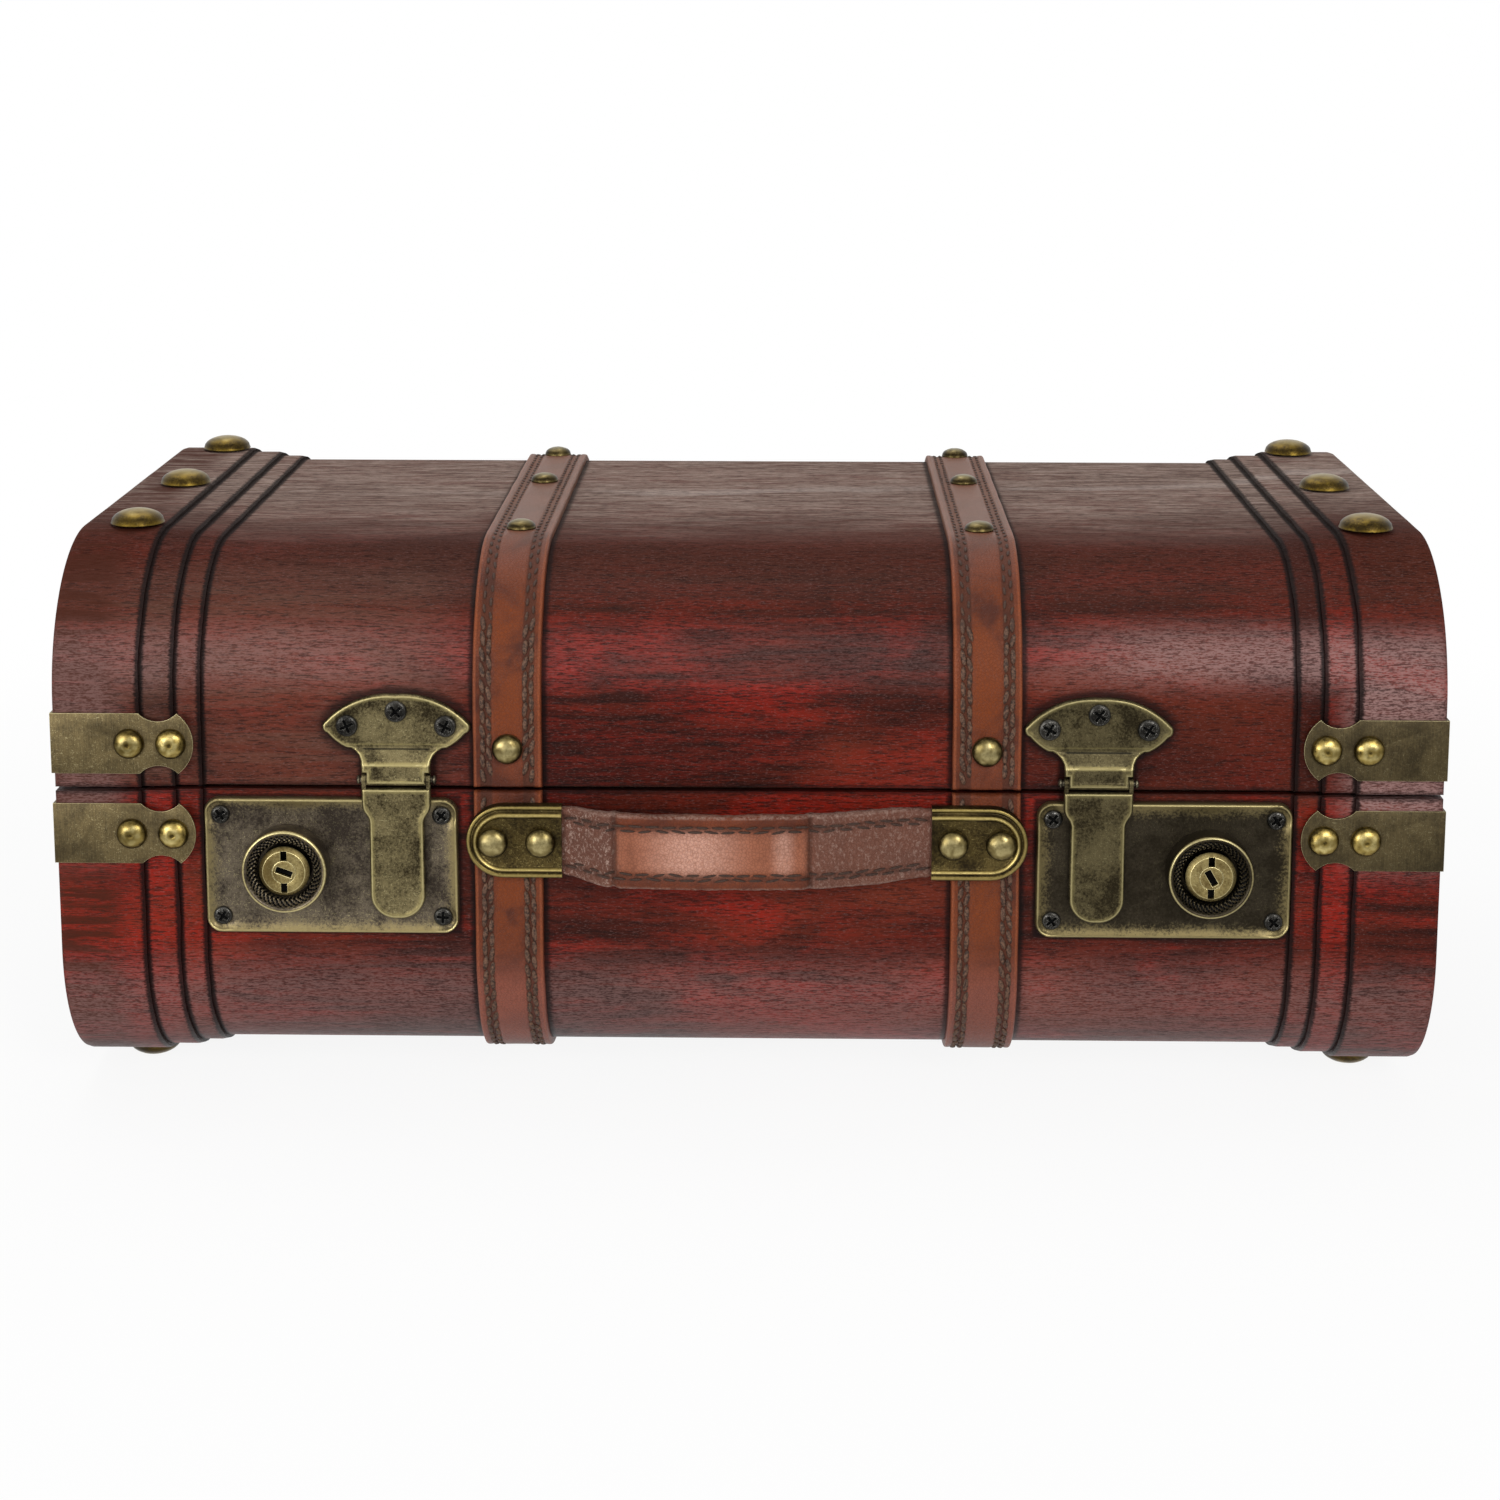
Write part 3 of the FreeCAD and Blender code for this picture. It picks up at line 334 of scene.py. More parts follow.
def handleCoats(spots, mottle, speck, vein, look):
    x, z = spots[0], spots[2]
    across = abs(z - (capLow.z + capHigh.z) / 2)
    channel = fading(abs(across - look["handleChannel"]), 0.5, 1.4)
    wander = (speck - 0.5) * 3.0 + (mottle - 0.5) * 5.0
    ends = larger(fading(x + wander, *look["handleLeft"]), between(x + wander, *look["handleRight"]))
    belly = (1 - ends) * fading(across, *look["bellyHalf"])
    # painted highlights where the belly turns
    paintedHighlight = larger(*[fading(abs(x - place), near, far) * much for place, near, far, much in look["highlightSpots"]])
    bent = x + wander * 0.3
    crease = larger(*[fading(abs(bent - place), near, far) for place, near, far in look["creases"]])
    coats = [
        (belly * (0.5 + 0.4 * between(mottle, 0.3, 0.55)), "belly"),
        (belly * paintedHighlight * (0.6 + 0.4 * between(speck, 0.35, 0.6)), "paintedHighlight"),
        (ends * 0.75, "dusty"),
        (ends * vein * (0.76 - 0.4 * between(x, -20, 20)), "vein"),
        # dirt, with painted shade in the creases and the stitch channel
        (larger(crease * 0.55, channel * 0.45 * between(speck, 0.3, 0.55)), "dirtAndShade"),
        (between(across, *look["handleEdge"]) * 0.5 * between(speck, 0.35, 0.6), "vein"),
    ]
    return coats, larger(ends * 0.8, channel * 0.4)


def leatherFinish(name, look):
    material, spot, parts = startFinish(name)
    mottle, speck, fine = [cloud(spot, even, *look[kind]) for kind in ("mottle", "speck", "fine")]
    cells = spot.node("TexVoronoi", {"feature": "DISTANCE_TO_EDGE"},
            {"Vector": spot, "Scale": look["pebble"], "Randomness": 1.0})
    cells = between(cells, 0.0, 0.16)
    if name == "strapLeather":
        coats, worn = strapCoats(parts, mottle, speck, look)
    else:
        vein = between(cloud(spot, (1, 1, 0.8), *look["veins"]), 0.5, 0.62)
        coats, worn = handleCoats(parts, mottle, speck, vein, look)
    colour = mixed(between(mottle, 0.32, 0.62), look["deep"], look["tan"])
    colour = painted(colour, look, coats + [((1 - cells) * 0.35, "deep")])
    shine = 0.34 + 0.26 * worn + 0.14 * speck
    relief = cells * 0.3 + speck * (0.25 + 0.8 * worn) + fine * 0.2
    endFinish(colour, shine, 0.0, relief, look["reliefDepth"], 0.8, look["specular"])
    return material


threadLook = {
    "thread": tone(104, 77, 61), "dark": tone(46, 32, 25), "top": tone(58, 40, 32),
    "handle": tone(50, 36, 30), "topRise": (46, 66),
}


def threadFinish(name, look):
    material, spot, parts = startFinish(name)
    fluff = cloud(spot, even, 1.1, 4.0, 0.7)
    colour = mixed(between(fluff, 0.36, 0.66), look["dark"], look["thread"])
    if name == "darkThread":
        colour = mixed(fluff * 0.5 + 0.5, colour, look["handle"])
    else:
        colour = mixed(between(parts[2] - parting, *look["topRise"]) * 0.9, colour, look["top"])
    endFinish(colour, 0.6 + 0.1 * fluff, 0.0, fluff, 0.25, 1.0, 0.3)
    return material


def brassTones(dark, face, gold, crest, rough, metal=0.85, **more):  # from hollows to bright edges
    return {
        "dark": tone(*dark),
        "face": tone(*face),
        "gold": tone(*gold),
        "crest": tone(*crest),
        "dusk": tone(34, 29, 16),
        "umber": tone(44, 34, 16),
        "grimeAndShade": tone(26, 20, 10),
        "hollowShade": tone(12, 10, 8),
        "black": tone(4, 4, 4),
        "rough": rough,
        "metal": metal,
        **more,
    }


brassLook = {
    "lockBrass": brassTones((54, 47, 41), (104, 94, 80), (130, 116, 78), (200, 187, 136), 0.3, duskRight=0.8),
    "haspBrass": brassTones((44, 37, 23), (118, 107, 76), (140, 128, 86), (198, 186, 138), 0.32,
            duskRight=0.45),
    "stripBrass": brassTones((70, 60, 40), (106, 92, 62), (116, 104, 72), (190, 178, 136), 0.38, 0.75,
            duskRight=0.4),
    "nailBrass": brassTones((56, 46, 22), (112, 95, 48), (146, 126, 70), (204, 186, 124), 0.24, 0.92,
            shade=0.6),
    "rivetBrass": brassTones((50, 42, 24), (92, 80, 48), (114, 101, 64), (168, 154, 108), 0.26, 0.92,
            shade=0.7),
    "domeBrass": brassTones((44, 34, 12), (80, 64, 22), (98, 80, 30), (138, 120, 70), 0.26, 0.88, shade=0.35),
    "capBrass": brassTones((36, 29, 16), (78, 66, 38), (116, 100, 56), (176, 158, 100), 0.28, 0.9),
    "cylinderBrass": brassTones((104, 88, 52), (158, 142, 94), (182, 166, 114), (226, 212, 158), 0.3, 0.9),
    "blackScrew": brassTones((26, 25, 23), (50, 48, 44), (70, 68, 64), (190, 188, 182), 0.22),
}
brassPlaces = {
    "rightShadeFrom": (10, 110), "border": (-5.2, -0.8), "farLeft": (190, 204), "topNails": (40, 70),
    "sunk": (1.05, 1.6),
}


def brassFinish(name, look, places):
    material, spot, (x, y, z) = startFinish(name)
    wearAndShading = spot.node("Attribute", {"attribute_name": "wearAndShading"}, output="Fac")
    stain = cloud(spot, even, 0.08, 4.0, 0.6, 0.4)
    grit = cloud(spot, even, 1.1, 5.0, 0.75)
    hair = cloud(spot, (1.6, 1, 0.5), 1.0, 3.0, 0.6, 3.0)
    cross = cloud(spot, (0.5, 1, 1.6), 0.9, 3.0, 0.6, 3.0)
    scratch = larger(between(hair, 0.6, 0.68), between(cross, 0.6, 0.68))
    base = stain * 0.55 + grit * 0.45
    if name == "stripBrass":
        brushed = cloud(spot, (3.2, 1, 0.14), 1.0, 3.0, 0.6)
        base = stain * 0.5 + brushed * 0.2 + grit * 0.3
    rubbedAndSheen = wearAndShading + (grit - 0.5) * 0.7 + (stain - 0.5) * 0.5
    coats = [
        (scratch * (0.15 + 0.35 * between(stain, 0.4, 0.6)), "crest"),
        (between(rubbedAndSheen, 0.28, 0.7), "gold"),
        (between(wearAndShading, 0.6, 1.0) * (0.4 + 0.6 * between(grit, 0.3, 0.62)), "crest"),
    ]
    # darker on the right-hand side: painted shade, with more tarnish there
    if "duskRight" in look:
        dusk = between(x, *places["rightShadeFrom"]) * look["duskRight"]
        coats.append((dusk * (1 - between(wearAndShading, 0.5, 0.9) * 0.6), "dusk"))
    if name == "lockBrass":
        gap = boxGap(abs(x), z, plate.x, plate.z, *case["plateHalf"])
        coats.append((between(gap + (grit - 0.5) * 13 + (stain - 0.5) * 7, *places["border"]) * 0.55, "gold"))
    if name == "nailBrass":
        coats.append((between(x * -1, *places["farLeft"]) * 0.5, "dark"))
    if name == "rivetBrass":
        coats.append((between(z - parting, *places["topNails"]) * 0.5, "umber"))
    # painted shade, with grime, on the low edges and centre dents of nails, rivets and domes
    if "shade" in look:
        coats.append((fading(wearAndShading, 0.0, 0.4) * look["shade"], "grimeAndShade"))
    # painted shade in the keyways and other sunken parts of cylinders and plugs
    if name == "cylinderBrass":
        coats.append((between(y - boxOf("lock_cylinder_left")[0].y, *places["sunk"]), "hollowShade"))
    # black where wear and shading is below zero: painted shade in the screws' cross recesses and the hasp's
    # groove, and dark rope valleys on the knobs
    coats.append((between(wearAndShading * -1, 0.2, 0.8), "black"))
    colour = mixed(between(base, 0.38, 0.6), look["dark"], look["face"])
    colour = painted(colour, look, coats)
    shine = look["rough"] + 0.26 * grit - 0.06 * wearAndShading
    endFinish(colour, shine, look["metal"], grit * 0.7 + hair * 0.3, 0.05, 0.6)
    return material


plainLook = {  # two tones, then the speckle's scale, the roughness, the metal and the relief
    "darkPin": (tone(46, 42, 36), tone(120, 112, 92), 0.7, 0.35, 0.85, 0.05),
    "caseSteel": (tone(120, 122, 124), tone(160, 162, 164), 0.4, 0.35, 0.9, 0.04),
    "liningCloth": (tone(98, 80, 60), tone(124, 104, 80), 1.6, 0.8, 0.0, 0.12),
}


def plainFinish(name, first, second, scale, roughness, metallic, depth):
    material, spot = startFinish(name)[:2]
    speck = cloud(spot, even, scale, 4.0, 0.65)
    colour = mixed(between(speck, 0.35, 0.65), first, second)
    endFinish(colour, roughness + 0.15 * speck, metallic, speck, depth)
    return material


finishes = {
    "stainedBoard": woodFinish("stainedBoard", woodLook, (0.13, 1, 1)),
    "stainedEnd": woodFinish("stainedEnd", woodLook, (1, 0.13, 1)),
}
for name in ("strapLeather", "handleLeather"):
    finishes[name] = leatherFinish(name, leatherLook)
for name in ("waxedThread", "darkThread"):
    finishes[name] = threadFinish(name, threadLook)
for name, look in brassLook.items():
    finishes[name] = brassFinish(name, look, brassPlaces)
for name, look in plainLook.items():
    finishes[name] = plainFinish(name, *look)
print("finishes made,", len(finishes))


# mesh helpers, all in millimetres until a piece is finished

def asObject(bm, name, material):
    mesh = bpy.data.meshes.new(name)
    bm.to_mesh(mesh)
    bm.free()
    mesh.materials.append(material)
    made = bpy.data.objects.new(name, mesh)
    bpy.context.scene.collection.objects.link(made)
    return made


def endPiece(bm, name, body, finish, stands=(), sharp=50):
    bmesh.ops.remove_doubles(bm, verts=bm.verts[:], dist=1e-4)
    bmesh.ops.recalc_face_normals(bm, faces=bm.faces[:])
    bmesh.ops.scale(bm, vec=(mm, mm, mm), verts=bm.verts[:])
    piece = asObject(bm, name, finishes[finish])
    piece.data.shade_smooth()
    piece.data.set_sharp_from_angle(angle=math.radians(sharp))
    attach(piece, body)
    if stands:
        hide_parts(*stands)


def moveAll(bm, vec):
    bmesh.ops.translate(bm, verts=bm.verts[:], vec=vec)


def startPiece():
    bm = bmesh.new()
    bm.verts.layers.float.new("wearAndShading")
    return bm


def vertsOf(made):
    return [part for part in made["geom"] if isinstance(part, bmesh.types.BMVert)]


def twoSheets(bm, cellsAcross, cellsAlong):  # two grids joined by walls, with z 0 inside and 1 outside
    bmesh.ops.create_grid(bm, x_segments=cellsAcross, y_segments=cellsAlong, size=1)
    grown = bmesh.ops.extrude_face_region(bm, geom=bm.faces[:])
    bmesh.ops.translate(bm, verts=vertsOf(grown), vec=(0, 0, 1))


def cutAt(bm, axis, start, cell, first, last):  # even straight cuts through the whole piece
    normal = Vector((axis == "x", axis == "y", axis == "z"))
    for n in range(first, last + 1):
        bmesh.ops.bisect_plane(bm, geom=bm.verts[:] + bm.edges[:] + bm.faces[:],
                plane_co=normal * (start + n * cell), plane_no=normal, dist=1e-5)


def ripple(x, y, z, shift=Vector()):
    return noise.noise(Vector((x, y, z)) + shift)


def eased(value, low, high):  # a number's soft step from 0 at low to 1 at high
    share = min(1.0, max(0.0, (value - low) / (high - low)))
    return share * share * (3 - 2 * share)


def hump(gap, width, power=2):  # 1 at no gap, falling away over the width
    return math.exp(-(gap / width) ** power)


def roundDrop(gap, radius):  # how far a rounded edge lies down at this gap from its cut
    return radius - math.sqrt(max(0.0, radius ** 2 - (radius - gap) ** 2)) if gap < radius else 0.0


def raisedPlate(bm, corners, wall, rounding):  # a flat outline in XZ, raised along -Y with a stepped edge
    face = bm.faces.new([bm.verts.new((x, 0, z)) for x, z in corners])
    grown = bmesh.ops.extrude_face_region(bm, geom=[face])
    topFace = next(g for g in grown["geom"] if isinstance(g, bmesh.types.BMFace))
    bmesh.ops.translate(bm, verts=topFace.verts[:], vec=(0, -wall, 0))
    if not face.is_valid:
        bmesh.ops.holes_fill(bm, edges=[e for e in bm.edges if e.is_boundary], sides=0)
    wearAndShading = bm.verts.layers.float["wearAndShading"]
    height = wall
    for inset, rise, worn in rounding:
        bmesh.ops.inset_region(bm, faces=[topFace], thickness=inset, depth=0, use_even_offset=True,
                use_boundary=True)
        bmesh.ops.translate(bm, verts=topFace.verts[:], vec=(0, height - rise, 0))
        height = rise
        for v in topFace.verts:
            v[wearAndShading] = worn


def bow(start, through, end, count):  # points on the arc through three points, without its first
    a, b, c = (complex(*point) for point in (start, through, end))
    lean = (c - a) / (b - a)
    middle = a + (b - a) * (lean - abs(lean) ** 2) / (2j * lean.imag)
    turn, half = (cmath.phase((point - middle) / (a - middle)) for point in (c, b))
    if half * turn < 0:
        turn -= math.copysign(2 * math.pi, turn)
    spots = [middle + (a - middle) * cmath.rect(1, turn * n / count) for n in range(1, count + 1)]
    return [(spot.real, spot.imag) for spot in spots]


def outlineOf(path):  # the right half as points and bows, and the left half mirrored
    right = []
    for step in path:
        right += [step] if len(step) == 2 else bow(right[-1], *step)
    return right + [(-x, z) for x, z in reversed(right[:-1])]


def roundedBox(halfX, halfZ, radius, count=8):
    points = []
    for signX, signZ, start in ((1, -1, 270), (1, 1, 0), (-1, 1, 90), (-1, -1, 180)):
        for n in range(count + 1):
            angle = math.radians(start + 90 * n / count)
            points.append((signX * (halfX - radius) + radius * math.cos(angle),
                    signZ * (halfZ - radius) + radius * math.sin(angle)))
    return points


def wrapLength(half, inset):
    upright = case["height"][half] - case["corner"] - case["seam"] / 2
    level = case["rearY"] - case["frontY"] - 2 * case["corner"]
    return 2 * upright + math.pi * (case["corner"] - inset) + level


def wrapPlace(half, inset, x, along, rise):  # a spot on the bent case, along runs from front rim to rear rim
    sign = 1 if half == "lid" else -1
    height = case["height"][half]
    radius = case["corner"] - inset
    upright = height - case["corner"] - case["seam"] / 2
    total = wrapLength(half, inset)
    behind = along > total / 2
    run = total - along if behind else along
    bend = radius * math.pi / 2
    if run < upright:
        y, z = -radius - rise, run - upright
    elif run < upright + bend:
        angle = (run - upright) / radius
        y, z = -(radius + rise) * math.cos(angle), (radius + rise) * math.sin(angle)
    else:
        y, z = run - upright - bend, radius + rise
    y += case["corner"]
    if behind:
        y = case["rearY"] - case["frontY"] - y
    return Vector((x, case["frontY"] + y, parting + sign * (height - case["corner"] + z)))


def islands(name):  # boxes of the separate bodies in one CAD piece
    bm = bmesh.new()
    bm.from_mesh(nodes[name].data)
    bmesh.ops.remove_doubles(bm, verts=bm.verts[:], dist=1e-6)
    waiting = set(bm.verts)
    found = []
    while waiting:
        front = [waiting.pop()]
        group = []
        while front:
            v = front.pop()
            group.append(v.co / mm)
            for e in v.link_edges:
                other = e.other_vert(v)
                if other in waiting:
                    waiting.remove(other)
                    front.append(other)
        low = Vector([min(p[i] for p in group) for i in range(3)])
        high = Vector([max(p[i] for p in group) for i in range(3)])
        found.append((low, high))
    bm.free()
    return sorted(found, key=lambda b: tuple(b[0]))


# nails, rivets, studs and feet

def sideOut(low, high):  # which way a nail in a corner plate points
    spot = (low + high) / 2
    if abs(spot.x) > case["endX"] - nailMake["plateReach"]:
        return Vector((math.copysign(1, spot.x), 0, 0))
    return forward if spot.y < 0 else -forward


def strapOut(low, high):
    return forward if high.z < parting + nailMake["frontRise"] else upward


nailMake = {
    "rings": 18, "sides": 36, "flange": 0.98, "flangeThick": 0.3, "rimWear": 0.35, "fullness": 0.95,
    "pit": 0.85, "plateReach": 12, "frontRise": 40,
    "sets": {  # body, CAD piece, finish and direction, then radius, height, dents, flat and dimple
        "lid_corner_nail_heads": ("lid", "lid_corner_nails", "nailBrass", sideOut,
                (5.05, 3.0, 0.1, 0.0, 0.5)),
        "base_corner_nail_heads": ("base", "base_corner_nails", "nailBrass", sideOut,
                (5.05, 3.0, 0.1, 0.0, 0.5)),
        "lid_strap_nail_heads": ("lid", "lid_strap_nails", "rivetBrass", strapOut,
                (5.05, 3.0, 0.12, 0.0, 0.0)),
        "handle_rivet_heads": ("base", "handle_rivets", "rivetBrass", forward, (5.05, 3.0, 0.1, 0.0, 0.0)),
        "lid_stud_heads": ("lid", "lid_dome_nails", "domeBrass", upward, (9.0, 4.7, 0.05, 0.0, 0.0)),
        "base_foot_heads": ("base", "base_feet", "domeBrass", -upward, (9.25, 5.5, 0.05, 0.3, 0.0)),
    },
}


def headAt(bm, seat, out, shape, make):
    radius, height, dent, flat, dimple = shape
    wearAndShading = bm.verts.layers.float["wearAndShading"]
    made = bmesh.ops.create_uvsphere(bm, u_segments=make["sides"], v_segments=make["rings"], radius=1)
    turn = out.to_track_quat("Z", "Y").to_matrix().to_4x4()
    place = Matrix.Translation(seat) @ turn @ Matrix.Rotation(random.uniform(0, 6.28), 4, "Z")
    shift = Vector([random.uniform(0, 50) for n in range(3)])
    flange, thick = make["flange"], make["flangeThick"]
    for v in made["verts"]:
        wide = Vector((v.co.x, v.co.y))
        share = wide.length
        grimeAndShade = noise.noise(v.co * 3 + shift)
        if v.co.z < 0.01:
            lift = v.co.z * 0.35
            v[wearAndShading] = make["rimWear"]
        elif share > flange:
            lift = thick
            v[wearAndShading] = 0.55 + 0.3 * grimeAndShade
        else:
            up = math.sqrt(1 - (share / flange) ** 2)
            dents = noise.noise(v.co * 2.3 + shift) + 0.5 * noise.noise(v.co * 5 + shift)
            pit = hump(share * radius, make["pit"])
            lift = thick + up ** make["fullness"] * (height - thick) + dents * dent * up - dimple * pit
            v[wearAndShading] = min(1.0, max(0.0, up * 1.4 - 0.35 + 0.45 * grimeAndShade))
            if dimple:
                v[wearAndShading] *= 1 - pit
        if flat:
            lift = min(lift, height - flat)
        v.co = place @ Vector((wide.x * radius, wide.y * radius, lift))


def seatOf(low, high, out, height):
    spot = (low + high) / 2
    for n in range(3):
        if out[n] > 0.5:
            spot[n] = high[n] - height
        if out[n] < -0.5:
            spot[n] = low[n] + height
    return spot


for name, (body, cadNode, finish, way, shape) in nailMake["sets"].items():
    bm = startPiece()
    random.seed(len(cadNode))
    for low, high in islands(cadNode):
        out = way(low, high) if callable(way) else way
        headAt(bm, seatOf(low, high, out, shape[1]), out, shape, nailMake)
    endPiece(bm, name, body, finish, [cadNode], sharp=70)
print("nails made")


# stepped bands at the ends, with slightly uneven cut edges

bandMake = {
    "thick": 1.5, "edgeRound": 0.45, "cellsAcross": 14, "cellLength": 2.4, "waver": 0.45,
    "swelling": 0.08, "rearGap": 3.0,
    "tints": {"base": ((0.1, 0.5, -0.2), (-0.1, 1.6, 0.3)), "lid": ((0.3, -0.6, 0.2), (-0.1, 1.2, -1.0))},
}


def bandPiece(half, side, order, make):
    sign = signs[side]
    tint = make["tints"][half][side == "right"][order]
    inset = order * make["thick"]
    start, end = bandEdges[order], case["endX"]
    total = wrapLength(half, inset) - make["rearGap"]
    bm = startPiece()
    mark = bm.verts.layers.float.new("tint")
    twoSheets(bm, make["cellsAcross"], int(total / make["cellLength"]))
    shift = Vector((sign * 17 + order * 29, 11 if half == "lid" else 83, 0))
    for v in bm.verts:
        share = 0.5 + 0.5 * (1.2 * v.co.x - 0.2 * v.co.x ** 3)
        along = total * (v.co.y + 1) / 2
        across = share * (end - start)
        edge = min(across, end - start - across, along, total - along)
        rise = 0.0
        if v.co.z > 0.5:
            rise = make["thick"] + make["swelling"] * ripple(across / 12, along / 18, 0, shift)
            rise = min(rise - roundDrop(edge, make["edgeRound"]), make["thick"])
        waver = ripple(0, along / 17, 0, shift)
        waver += 0.4 * ripple(5, along / 3, 0, shift)
        x = start + across + make["waver"] * waver * (1 - share)
        v.co = wrapPlace(half, inset, sign * x, along, rise - make["thick"])
        v[mark] = tint
    cadNode = f"{half}_{bandOrder[order]}_band_{side}"
    endPiece(bm, f"{cadNode}_veneer", half, "stainedBoard", [cadNode])


for half, side in quarters:
    for order in range(3):
        bandPiece(half, side, order, bandMake)
print("bands made")


# leather straps and their stitches

strapMake = {
    "halfWidth": 11.15, "thick": 2.5, "edgeRound": 0.8, "cellsAcross": 60, "cellLength": 2.2,
    "rows": (3.1, 5.3), "channelDepth": 0.5, "channelHalf": 2.0, "swelling": 0.12, "waver": 0.18,
    "stitchPitch": 4.9, "stitch": (0.92, 2.75, 0.6), "stitchRise": 0.12, "firstStitch": 4.0,
    "topStitch": 0.6, "topFrom": 55, "nailHeight": 3.0, "nailReach": 7.5, "nailSink": 0.5,
}
loopMake = {"sides": 8, "rings": 5}


def strapPiece(half, side, make):
    sign = signs[side]
    inset = case["skinInset"]
    total = wrapLength(half, inset)
    bm = startPiece()
    twoSheets(bm, make["cellsAcross"], int(total / make["cellLength"]))
    nails = islands("lid_strap_nails")
    seats = [seatOf(low, high, strapOut(low, high), make["nailHeight"]) for low, high in nails]
    wide = make["halfWidth"]
    channel = wide - sum(make["rows"]) / 2
    shift = Vector((sign * 31, 7 if half == "lid" else 53, 0))
    for v in bm.verts:
        u, s = v.co.x, (v.co.y + 1) / 2
        across = wide * (1.18 * u - 0.18 * u ** 3)
        along = total * (s - 0.12 * math.sin(2 * math.pi * s))
        edge = min(wide - abs(across), along, total - along)
        rise = 0.0
        if v.co.z > 0.5:
            rise = make["thick"] + make["swelling"] * ripple(across / 9, along / 14, 0, shift)
            rise -= make["channelDepth"] * hump(abs(across) - channel, make["channelHalf"], 4)
            rise -= roundDrop(edge, make["edgeRound"])
        waver = make["waver"] * ripple(3, along / 16, 0, shift)
        spot = wrapPlace(half, inset, sign * strap.x + across + waver * (abs(across) / wide), along, rise)
        if half == "lid" and v.co.z > 0.5:
            near = min((spot - seat).length for seat in seats)
            if near < make["nailReach"]:
                sink = make["nailSink"] * (1 - near / make["nailReach"])
                spot = wrapPlace(half, inset, spot.x, along, rise - sink)
        v.co = spot
    endPiece(bm, f"{half}_strap_leather_{side}", half, "strapLeather", [f"{half}_strap_{side}"])


def startLoop(make):  # one thread loop, kept to be added again and again
    one = startPiece()
    bmesh.ops.create_uvsphere(one, u_segments=make["sides"], v_segments=make["rings"], radius=1)
    mesh = bpy.data.meshes.new("thread_loop")
    one.to_mesh(mesh)
    one.free()
    return mesh


def stitchAt(bm, loop, spot, along, up, size):
    along = along.normalized()
    up = (up - along * up.dot(along)).normalized()
    turn = Matrix((along.cross(up), along, up)).transposed().to_4x4()
    place = Matrix.Translation(spot) @ turn @ Matrix.Diagonal((*size, 1))
    loop.transform(place)
    bm.from_mesh(loop)
    loop.transform(place.inverted())


def strapStitches(half, side, make):
    inset = case["skinInset"]
    total = wrapLength(half, inset)
    random.seed(half + side)
    bm = startPiece()
    rise = make["thick"] - make["channelDepth"] + make["stitchRise"]
    loop = startLoop(loopMake)
    for edge in (-1, 1):
        for order, row in enumerate(make["rows"]):
            across = edge * (make["halfWidth"] - row)
            along = make["firstStitch"] + order * make["stitchPitch"] * 0.5
            while along < total - make["firstStitch"]:
                x = signs[side] * strap.x + across + random.uniform(-0.12, 0.12)
                spot = wrapPlace(half, inset, x, along, rise)
                aheadX = x + random.uniform(-0.22, 0.22) + edge * 0.12
                ahead = wrapPlace(half, inset, aheadX, along + 1, rise)
                above = wrapPlace(half, inset, x, along, rise + 1)
                small = make["topStitch"] if spot.z - parting > make["topFrom"] else 1.0
                size = [part * small for part in make["stitch"]]
                size[1] *= random.uniform(0.9, 1.08)
                stitchAt(bm, loop, spot, ahead - spot, above - spot, size)
                along += make["stitchPitch"] * random.uniform(0.97, 1.03)
    endPiece(bm, f"{half}_strap_stitches_{side}", half, "waxedThread", sharp=80)


for half, side in quarters:
    strapPiece(half, side, strapMake)
    strapStitches(half, side, strapMake)
print("straps and stitches made")


# plates, hinges, cylinders and plugs: CAD pieces with thin bright worn edges

wornMake = {"sharpFrom": 35, "flatUnder": 2, "segments": 2}


def wornCopy(cadNode, name, body, finish, width, make):
    bm = bmesh.new()
    bm.from_mesh(nodes[cadNode].data)
    bmesh.ops.scale(bm, vec=(1 / mm, 1 / mm, 1 / mm), verts=bm.verts[:])
    bmesh.ops.remove_doubles(bm, verts=bm.verts[:], dist=1e-3)
    bmesh.ops.dissolve_limit(bm, angle_limit=math.radians(make["flatUnder"]), verts=bm.verts[:],
            edges=bm.edges[:])
    worn = bm.faces.layers.float.new("wearAndShading")
    sharpFrom = math.radians(make["sharpFrom"])
    sharpEdges = [e for e in bm.edges if len(e.link_faces) == 2 and e.calc_face_angle() > sharpFrom]
    made = bmesh.ops.bevel(bm, geom=sharpEdges, offset=width, offset_type="OFFSET", affect="EDGES",
            segments=make["segments"], profile=0.5, clamp_overlap=True, material=-1)
    for face in made["faces"]:
        face[worn] = 1.0
    bmesh.ops.triangulate(bm, faces=[f for f in bm.faces if len(f.verts) > 4])
    endPiece(bm, name, body, finish, [cadNode], sharp=30)


for cadPart, part, width in (("corner_plates", "corner_strips", 0.22), ("hinge_leaves", "hinge_plates", 0.2)):
    for half in ("base", "lid"):
        wornCopy(f"{half}_{cadPart}", f"{half}_{part}", half, "stripBrass", width, wornMake)
for side in signs:
    for part, body, width in (("lock_cylinder", "knob", 0.22), ("key_plug", "plug", 0.14)):
        wornCopy(f"{part}_{side}", f"{part}_face_{side}", f"{body}_{side}", "cylinderBrass", width, wornMake)


screwMake = {
    "cells": 34, "height": 1.25, "foot": 0.15, "sunk": 0.9, "skirt": 0.4, "crossHalf": 0.5,
    "crossReach": 0.64, "crossDeep": 0.7, "soft": 0.22, "brightRim": 0.12,
}


